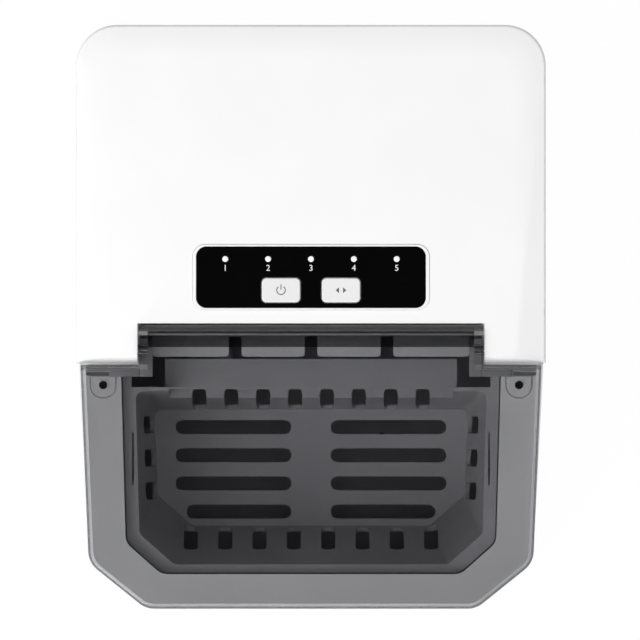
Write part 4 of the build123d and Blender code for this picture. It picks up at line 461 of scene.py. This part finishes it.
bars = []
runs = (  # from X, to X, from Y, to Y
    ("innerXMm", "bridgeXMm", "frontYMm", "bridgeYMm"),
    ("bridgeXMm", "padXMm", "frontYMm", "rearYMm"),
    ("padXMm", "outerXMm", "slotYMm", "rearYMm"),
)
for side in (-1, 1):
    for start, stop, front, rear in runs:
        ends = sorted((side * lidFlange[start], side * lidFlange[stop]))
        low = (ends[0], lidFlange[front], lidFlange["lowZMm"])
        high = (ends[1], lidFlange[rear], lidFlange["highZMm"])
        bars.append(easedBar("lidFlange", low, high))
low = (-lidLedge["halfWidthMm"], lidLedge["frontYMm"], lidLedge["lowZMm"])
high = (lidLedge["halfWidthMm"], lidLedge["rearYMm"], lidLedge["highZMm"])
bars.append(easedBar("lidLedge", low, high))
mesh = joinMeshes("lidRearFlange", bars)
placePiece("lidRearFlange", mesh, "lid", finish["smoked_flange"])
print("lid roll and flange placed")


# Small repeated pieces, each grown by a tree of geometry nodes

def startTree(name, inputs):
    # a geometry tree with named inputs: socket kind and value by name
    tree = bpy.data.node_groups.new(name, "GeometryNodeTree")
    tree.interface.new_socket("Geometry", in_out="OUTPUT", socket_type="NodeSocketGeometry")
    for label, (kind, value) in inputs.items():
        socket = tree.interface.new_socket(label, in_out="INPUT", socket_type="NodeSocket" + kind)
        socket.default_value = value
    return tree, addNode(tree, "NodeGroupInput").outputs


def mathNode(tree, operation, first, second):
    # one step of arithmetic on two sockets or numbers
    node = addNode(tree, "ShaderNodeMath", operation=operation)
    for i, term in enumerate((first, second)):
        if isinstance(term, (int, float)):
            node.inputs[i].default_value = term
        else:
            tree.links.new(term, node.inputs[i])
    return node.outputs[0]


def vectorOf(tree, **axes):
    # a vector from sockets or numbers on X, Y and Z
    node = addNode(tree, "ShaderNodeCombineXYZ")
    for axis, term in axes.items():
        if isinstance(term, (int, float)):
            node.inputs[axis].default_value = term
        else:
            tree.links.new(term, node.inputs[axis])
    return node.outputs[0]


def spreadOut(tree, shape, count, pitch, axis):
    # copies of a shape in a centred row along one axis
    gaps = mathNode(tree, "SUBTRACT", count, 1)
    start = mathNode(tree, "MULTIPLY", gaps, mathNode(tree, "MULTIPLY", pitch, -0.5))
    row = addNode(tree, "GeometryNodeMeshLine",
                  {"Count": count, "Start Location": vectorOf(tree, **{axis: start}),
                   "Offset": vectorOf(tree, **{axis: pitch})})
    copies = addNode(tree, "GeometryNodeInstanceOnPoints", {"Points": row.outputs["Mesh"], "Instance": shape})
    return copies.outputs[0]


def shiftUp(tree, shape, rise):
    # a shape moved along Z by a socket or number
    moved = addNode(tree, "GeometryNodeTransform", {"Geometry": shape, "Translation": vectorOf(tree, Z=rise)})
    return moved.outputs[0]


def joinShapes(tree, *shapes):
    # several shapes as one
    whole = addNode(tree, "GeometryNodeJoinGeometry")
    for shape in shapes:
        tree.links.new(shape, whole.inputs[0])
    return whole.outputs[0]


def endTree(tree, shape, material):
    # copies made real, finished in one material
    real = addNode(tree, "GeometryNodeRealizeInstances", {"Geometry": shape})
    finished = addNode(tree, "GeometryNodeSetMaterial", {"Geometry": real.outputs[0]}, {"Material": material})
    addNode(tree, "NodeGroupOutput", {"Geometry": finished.outputs[0]})


def growMesh(tree, sizes, turn=None, shiftMm=(0, 0, 0)):
    # the tree's shape as a plain mesh with its named inputs set, turned and moved into place
    helper = bpy.data.objects.new(tree.name + "Helper", bpy.data.meshes.new(tree.name))
    scene.collection.objects.link(helper)
    maker = helper.modifiers.new("maker", "NODES")
    maker.node_group = tree
    for item in tree.interface.items_tree:
        if item.in_out == "INPUT":
            size = sizes[item.name]
            maker[item.identifier] = size if isinstance(size, int) else size * mm
    mesh = applyModifiers(helper)
    if turn:
        mesh.transform(turn)
    mesh.transform(Matrix.Translation(Vector(shiftMm) * mm))
    return mesh


screwShape = {  # shares of the head's radius or height, and the fineness
    "lowShare": 0.55, "domeShare": 0.72, "slotLength": 1.05, "slotWidth": 0.24, "slotDepth": 1.2,
    "headSides": 40, "shankSides": 24, "weldMm": 0.001,
}


def screwTree(name, material):
    # pan-head screws with a cross recess, in rows and columns
    tree, sizes = startTree(name, {
        "Columns": ("Int", 2), "Column pitch": ("Float", 0.1),
        "Rows": ("Int", 1), "Row pitch": ("Float", 0.1),
        "Head radius": ("Float", 0.003), "Head height": ("Float", 0.0015),
        "Shank radius": ("Float", 0.0015), "Shank length": ("Float", 0.006)})
    radius, height, length = sizes["Head radius"], sizes["Head height"], sizes["Shank length"]
    sides = {"Vertices": screwShape["headSides"]}
    lowHeight = mathNode(tree, "MULTIPLY", height, screwShape["lowShare"])
    low = addNode(tree, "GeometryNodeMeshCone",
                  {"Radius Top": radius, "Radius Bottom": radius, "Depth": lowHeight}, sides)
    dome = addNode(tree, "GeometryNodeMeshCone",
                   {"Radius Top": mathNode(tree, "MULTIPLY", radius, screwShape["domeShare"]),
                    "Radius Bottom": radius, "Depth": mathNode(tree, "SUBTRACT", height, lowHeight)}, sides)
    head = joinShapes(tree, low.outputs["Mesh"], shiftUp(tree, dome.outputs["Mesh"], lowHeight))
    weld = {"Distance": screwShape["weldMm"] * mm}
    cut = addNode(tree, "GeometryNodeMergeByDistance", {"Geometry": head}, weld).outputs[0]
    arm = vectorOf(tree, X=mathNode(tree, "MULTIPLY", radius, screwShape["slotLength"]),
                   Y=mathNode(tree, "MULTIPLY", radius, screwShape["slotWidth"]),
                   Z=mathNode(tree, "MULTIPLY", height, screwShape["slotDepth"]))
    slot = addNode(tree, "GeometryNodeMeshCube", {"Size": arm}).outputs["Mesh"]
    cross = addNode(tree, "GeometryNodeTransform", {"Geometry": slot}, {"Rotation": (0, 0, math.pi / 2)})
    for recess in (slot, cross.outputs[0]):
        recess = shiftUp(tree, recess, height)
        cut = addNode(tree, "GeometryNodeMeshBoolean", {"Mesh 1": cut, "Mesh 2": recess},
                      operation="DIFFERENCE").outputs["Mesh"]
    shank = addNode(tree, "GeometryNodeMeshCylinder", {"Radius": sizes["Shank radius"], "Depth": length},
                    {"Vertices": screwShape["shankSides"]}).outputs["Mesh"]
    whole = joinShapes(tree, cut, shiftUp(tree, shank, mathNode(tree, "MULTIPLY", length, -0.5)))
    row = spreadOut(tree, whole, sizes["Columns"], sizes["Column pitch"], "X")
    endTree(tree, spreadOut(tree, row, sizes["Rows"], sizes["Row pitch"], "Y"), material)
    return tree


panelScrews = {"Columns": 2, "Column pitch": 170.0, "Rows": 3, "Row pitch": 109.0, "Head radius": 3.0,
               "Head height": 1.5, "Shank radius": 1.7, "Shank length": 4.0}
panelScrewSpot = (0, 141.5, 134.0)
mesh = growMesh(screwTree("panelScrewTree", finish["screw_steel"]), panelScrews,
                Matrix.Rotation(-math.pi / 2, 4, "X"), panelScrewSpot)
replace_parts(placePiece("rearPanelScrews", mesh, "housing"), "rear_panel_screws")

deckScrews = {"Columns": 2, "Column pitch": 204.0, "Rows": 1, "Row pitch": 10.0, "Head radius": 2.0,
              "Head height": 1.4, "Shank radius": 1.6, "Shank length": 6.0}
# their dark finish paints the shade of the screw holes
deckScrewSpot = (0, -33.5, 273.8)
mesh = growMesh(screwTree("deckScrewTree", finish["dark_screw"]), deckScrews, None, deckScrewSpot)
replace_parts(placePiece("deckPadScrews", mesh, "housing"), "deck_screws")


lampShape = {"sides": 40, "rings": 20}


def lampTree(name, material):
    # a row of light pipes with low domes
    tree, sizes = startTree(name, {
        "Count": ("Int", 5), "Pitch": ("Float", 0.021), "Radius": ("Float", 0.0015),
        "Length": ("Float", 0.005), "Dome": ("Float", 0.0003)})
    radius, length = sizes["Radius"], sizes["Length"]
    pipe = addNode(tree, "GeometryNodeMeshCylinder", {"Radius": radius, "Depth": length},
                   {"Vertices": lampShape["sides"]})
    pipe = shiftUp(tree, pipe.outputs["Mesh"], mathNode(tree, "MULTIPLY", length, -0.5))
    ball = addNode(tree, "GeometryNodeMeshUVSphere",
                   values={"Segments": lampShape["sides"], "Rings": lampShape["rings"], "Radius": 1.0})
    flat = vectorOf(tree, X=radius, Y=radius, Z=sizes["Dome"])
    dome = addNode(tree, "GeometryNodeTransform", {"Geometry": ball.outputs["Mesh"], "Scale": flat})
    dome = addNode(tree, "GeometryNodeSetShadeSmooth", {0: dome.outputs[0]})
    whole = joinShapes(tree, pipe, dome.outputs[0])
    endTree(tree, spreadOut(tree, whole, sizes["Count"], sizes["Pitch"], "X"), material)
    return tree


lampRow = {"Count": 5, "Pitch": 21.0, "Radius": 1.42, "Length": 5.0, "Dome": 0.25}
lampSpot = (0, 28.3, 295.9)
mesh = growMesh(lampTree("lampTree", finish["lamp_lens"]), lampRow, None, lampSpot)
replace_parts(placePiece("panelLamps", mesh, "housing"), "led_lenses")


footShape = {  # shares of the foot's radius or of a ring's step, and the fineness
    "coreShare": 0.93, "lipShare": 0.98, "ringShare": 0.78, "sides": 64, "stemSides": 24,
}


def footTree(name, material):
    # ringed rubber feet with a stem, two by two
    tree, sizes = startTree(name, {
        "Column pitch": ("Float", 0.19), "Row pitch": ("Float", 0.23),
        "Tip radius": ("Float", 0.01), "Root radius": ("Float", 0.012),
        "Height": ("Float", 0.008), "Rings": ("Int", 3),
        "Stem radius": ("Float", 0.004), "Stem length": ("Float", 0.005)})
    height, tip, root = sizes["Height"], sizes["Tip radius"], sizes["Root radius"]
    count, stemLength = sizes["Rings"], sizes["Stem length"]
    sides = {"Vertices": footShape["sides"]}
    core = addNode(tree, "GeometryNodeMeshCone",
                   {"Radius Bottom": mathNode(tree, "MULTIPLY", tip, footShape["coreShare"]),
                    "Radius Top": mathNode(tree, "MULTIPLY", root, footShape["coreShare"]),
                    "Depth": height}, sides)
    step = mathNode(tree, "DIVIDE", height, count)
    ring = addNode(tree, "GeometryNodeMeshCone",
                   {"Radius Bottom": mathNode(tree, "MULTIPLY", tip, footShape["lipShare"]),
                    "Radius Top": tip,
                    "Depth": mathNode(tree, "MULTIPLY", step, footShape["ringShare"])}, sides)
    stack = addNode(tree, "GeometryNodeMeshLine", {"Count": count, "Offset": vectorOf(tree, Z=step)})
    # each ring grows by its share of the way from tip to root
    index = addNode(tree, "GeometryNodeInputIndex").outputs[0]
    share = mathNode(tree, "DIVIDE", index, mathNode(tree, "SUBTRACT", count, 1))
    flare = mathNode(tree, "SUBTRACT", mathNode(tree, "DIVIDE", root, tip), 1)
    growth = mathNode(tree, "ADD", mathNode(tree, "MULTIPLY", share, flare), 1)
    rings = addNode(tree, "GeometryNodeInstanceOnPoints",
                    {"Points": stack.outputs["Mesh"], "Instance": ring.outputs["Mesh"],
                     "Scale": vectorOf(tree, X=growth, Y=growth, Z=1)})
    stem = addNode(tree, "GeometryNodeMeshCylinder", {"Radius": sizes["Stem radius"], "Depth": stemLength},
                   {"Vertices": footShape["stemSides"]})
    stemRise = mathNode(tree, "ADD", height, mathNode(tree, "MULTIPLY", stemLength, 0.5))
    stem = shiftUp(tree, stem.outputs["Mesh"], stemRise)
    grid = joinShapes(tree, core.outputs["Mesh"], rings.outputs[0], stem)
    for axis, pitch in (("X", "Column pitch"), ("Y", "Row pitch")):
        offset = vectorOf(tree, **{axis: sizes[pitch]})
        pair = addNode(tree, "GeometryNodeMeshLine", {"Offset": offset}, {"Count": 2})
        grid = addNode(tree, "GeometryNodeInstanceOnPoints",
                       {"Points": pair.outputs["Mesh"], "Instance": grid}).outputs[0]
    endTree(tree, grid, material)
    return tree


feet = {"Column pitch": 188.0, "Row pitch": 228.0, "Tip radius": 10.0, "Root radius": 12.0, "Height": 8.0,
        "Rings": 3, "Stem radius": 4.0, "Stem length": 5.0}
feetSpot = (-94.0, -104.0, 0.0)
mesh = growMesh(footTree("footTree", finish["rubber"]), feet, None, feetSpot)
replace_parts(placePiece("ringedFeet", mesh, "housing"), "rubber_feet")
print("screws, lamps and feet grown")


# Panel print

capShare = 0.69  # a figure's height over its font size


def numeral(text, heightMm, thickMm, spotMm):
    # one figure as a thin mesh, centred on its spot
    curve = bpy.data.curves.new("numeral", "FONT")
    curve.body = text
    curve.size = heightMm * mm / capShare
    curve.align_x = "CENTER"
    curve.align_y = "CENTER"
    curve.extrude = thickMm * mm / 2
    helper = bpy.data.objects.new("numeralHelper", curve)
    scene.collection.objects.link(helper)
    mesh = applyModifiers(helper)
    mesh.transform(Matrix.Translation(Vector(spotMm) * mm))
    return mesh


def flatMark(name, outlines, baseMm, thickMm):
    # thin closed plates from outlines in mm
    shape = bmesh.new()
    for outline in outlines:
        low = [shape.verts.new((x * mm, y * mm, baseMm * mm)) for x, y in outline]
        high = [shape.verts.new((x * mm, y * mm, (baseMm + thickMm) * mm)) for x, y in outline]
        shape.faces.new(high)
        shape.faces.new(low[::-1])
        for i in range(len(outline)):
            j = (i + 1) % len(outline)
            shape.faces.new((low[i], low[j], high[j], high[i]))
    bmesh.ops.recalc_face_normals(shape, faces=shape.faces)
    mesh = bpy.data.meshes.new(name)
    shape.to_mesh(mesh)
    shape.free()
    return mesh


def arcBand(centre, radius, width, fromDeg, toDeg, steps):
    # outline of a ring's part
    angles = [math.radians(fromDeg + (toDeg - fromDeg) * i / steps) for i in range(steps + 1)]
    x, y = centre
    arcs = [[(x + r * math.cos(a), y + r * math.sin(a)) for a in angles]
            for r in (radius + width / 2, radius - width / 2)]
    return arcs[0] + arcs[1][::-1]


def uprightBar(centre, width, depth):
    # outline of an upright bar
    x, y = centre
    return [(x - width / 2, y - depth / 2), (x + width / 2, y - depth / 2),
            (x + width / 2, y + depth / 2), (x - width / 2, y + depth / 2)]


panelPrint = {"figures": 5, "figureMm": 2.9, "lineYMm": 23.8, "topMm": 295.92, "inkMm": 0.03,
              "firstXMm": -42.0, "pitchMm": 21.0}
figures = []
for i in range(panelPrint["figures"]):
    spot = (panelPrint["firstXMm"] + i * panelPrint["pitchMm"], panelPrint["lineYMm"], panelPrint["topMm"])
    figures.append(numeral(str(i + 1), panelPrint["figureMm"], panelPrint["inkMm"], spot))
placePiece("lampNumerals", joinMeshes("lampNumerals", figures), "housing", finish["ink"])

keyPrint = {
    "leftMm": (-14.7, 13.0), "rightMm": (14.7, 13.0), "topMm": 296.9, "inkMm": 0.03, "lineMm": 0.45,
    "ringMm": 2.1, "ringFromDeg": 125, "ringToDeg": 415, "ringSteps": 40,
    "strokeMm": 2.52, "strokeRiseMm": 1.575,
    "arrowMm": 1.6, "arrowHalfMm": 1.44, "spreadMm": 2.6,
}
x, y = keyPrint["leftMm"]
powerSign = [arcBand((x, y), keyPrint["ringMm"], keyPrint["lineMm"], keyPrint["ringFromDeg"],
                     keyPrint["ringToDeg"], keyPrint["ringSteps"]),
             uprightBar((x, y + keyPrint["strokeRiseMm"]), keyPrint["lineMm"], keyPrint["strokeMm"])]
mesh = flatMark("powerSign", powerSign, keyPrint["topMm"], keyPrint["inkMm"])
placePiece("powerSign", mesh, "on_off_key", finish["keyInk"])
x, y = keyPrint["rightMm"]
tip, root, half = keyPrint["spreadMm"], keyPrint["spreadMm"] - keyPrint["arrowMm"], keyPrint["arrowHalfMm"]
arrowSign = [[(x + side * tip, y), (x + side * root, y + side * half), (x + side * root, y - side * half)]
             for side in (-1, 1)]
mesh = flatMark("arrowSign", arrowSign, keyPrint["topMm"], keyPrint["inkMm"])
placePiece("arrowSign", mesh, "select_key", finish["keyInk"])
print("panel printed")


# Light, floor and camera

camera = {"lensMm": 1500.0, "sensorMm": 36.0, "frameWidthMm": 313.6, "focusZMm": 290.0,
          "centreMm": (4.41, -1.57), "reachM": 60.0}
lens = bpy.data.cameras.new("planCamera")
lens.lens = camera["lensMm"]
lens.sensor_width = camera["sensorMm"]
lens.clip_end = camera["reachM"]
distanceMm = camera["frameWidthMm"] * camera["lensMm"] / camera["sensorMm"]
planView = bpy.data.objects.new("planCamera", lens)
planView.location = Vector((*camera["centreMm"], camera["focusZMm"] + distanceMm)) * mm
scene.collection.objects.link(planView)
scene.camera = planView

softBoxes = {  # place in metres, size in metres, power in watts, shown in gloss
    "keyBox": ((-1.0, -0.9, 1.75), 1.2, 16.5, True),
    "topBox": ((0.0, -0.1, 2.6), 0.9, 11.0, False),
}
lampAim = Vector((0, 0, 0.2))
for name, (spot, size, power, mirrored) in softBoxes.items():
    box = bpy.data.lights.new(name, "AREA")
    box.shape = "SQUARE"
    box.size = size
    box.energy = power
    lamp = bpy.data.objects.new(name, box)
    lamp.location = spot
    lamp.rotation_euler = (lampAim - Vector(spot)).to_track_quat("-Z", "Y").to_euler()
    lamp.visible_camera = False
    lamp.visible_glossy = mirrored
    lamp.visible_transmission = mirrored
    scene.collection.objects.link(lamp)

room = {  # ranges of the height or side looked at, then the light levels at their ends
    "walls": ((0.72, 0.985), (1.04, 0.03)),
    "sides": ((-0.6, 0.8), (1.3, 0.35)),
    "foot": ((0.0, 0.6), (0.4, 1.0)),
    "dimSide": (0.6, 0.8, 0.0),
}


def roomLevel(tree, value, name):
    # light level of the room for a height or side
    (fromMin, fromMax), (toMin, toMax) = room[name]
    spread = addNode(tree, "ShaderNodeMapRange", {"Value": value},
                     {"From Min": fromMin, "From Max": fromMax, "To Min": toMin, "To Max": toMax})
    return spread.outputs["Result"]


sky = bpy.data.worlds.new("paleStudio")
sky.use_nodes = True
scene.world = sky
tree = sky.node_tree
tree.nodes.clear()
way = addNode(tree, "ShaderNodeTexCoord").outputs["Generated"]
height = addNode(tree, "ShaderNodeSeparateXYZ", {"Vector": way}).outputs["Z"]
away = addNode(tree, "ShaderNodeVectorMath", {0: way}, {1: room["dimSide"]}, operation="DOT_PRODUCT")
# white walls all round that fall off to a dim ceiling, dimmer at the rear and the right and near the floor
level = mathNode(tree, "MULTIPLY", roomLevel(tree, height, "walls"), roomLevel(tree, height, "foot"))
level = mathNode(tree, "MULTIPLY", level, roomLevel(tree, away.outputs["Value"], "sides"))
back = addNode(tree, "ShaderNodeBackground", {"Strength": level}, {"Color": (1, 1, 1, 1)})
addNode(tree, "ShaderNodeOutputWorld", {"Surface": back.outputs["Background"]})

sheet = {"halfM": 40.0, "colour": "#BEBEBE", "glow": 1.03, "glowShare": 0.95}
corners = [(x * sheet["halfM"], y * sheet["halfM"], 0) for x, y in ((-1, -1), (1, -1), (1, 1), (-1, 1))]
floorMesh = bpy.data.meshes.new("paleFloor")
floorMesh.from_pydata(corners, [], [(0, 1, 2, 3)])
floor = bpy.data.objects.new("paleFloor", floorMesh)
scene.collection.objects.link(floor)
paper = bpy.data.materials.new("whitePaper")
paper.use_nodes = True
tree = paper.node_tree
tree.nodes.clear()
# where it is looked at, the paper glows and keeps a share of the shadow; it lights the object as matt paper
rays = addNode(tree, "ShaderNodeLightPath").outputs
seen = mathNode(tree, "MAXIMUM", rays["Is Camera Ray"], rays["Is Glossy Ray"])
seen = mathNode(tree, "MAXIMUM", seen, rays["Is Transmission Ray"])
share = mathNode(tree, "MULTIPLY", seen, sheet["glowShare"])
matt = addNode(tree, "ShaderNodeBsdfDiffuse", values={"Color": hexColour(sheet["colour"])}).outputs["BSDF"]
glow = addNode(tree, "ShaderNodeEmission", values={"Color": (1, 1, 1, 1), "Strength": sheet["glow"]})
mix = addNode(tree, "ShaderNodeMixShader", {"Fac": share, 1: matt, 2: glow.outputs["Emission"]})
addNode(tree, "ShaderNodeOutputMaterial", {"Surface": mix.outputs["Shader"]})
floorMesh.materials.append(paper)
print("stage set")
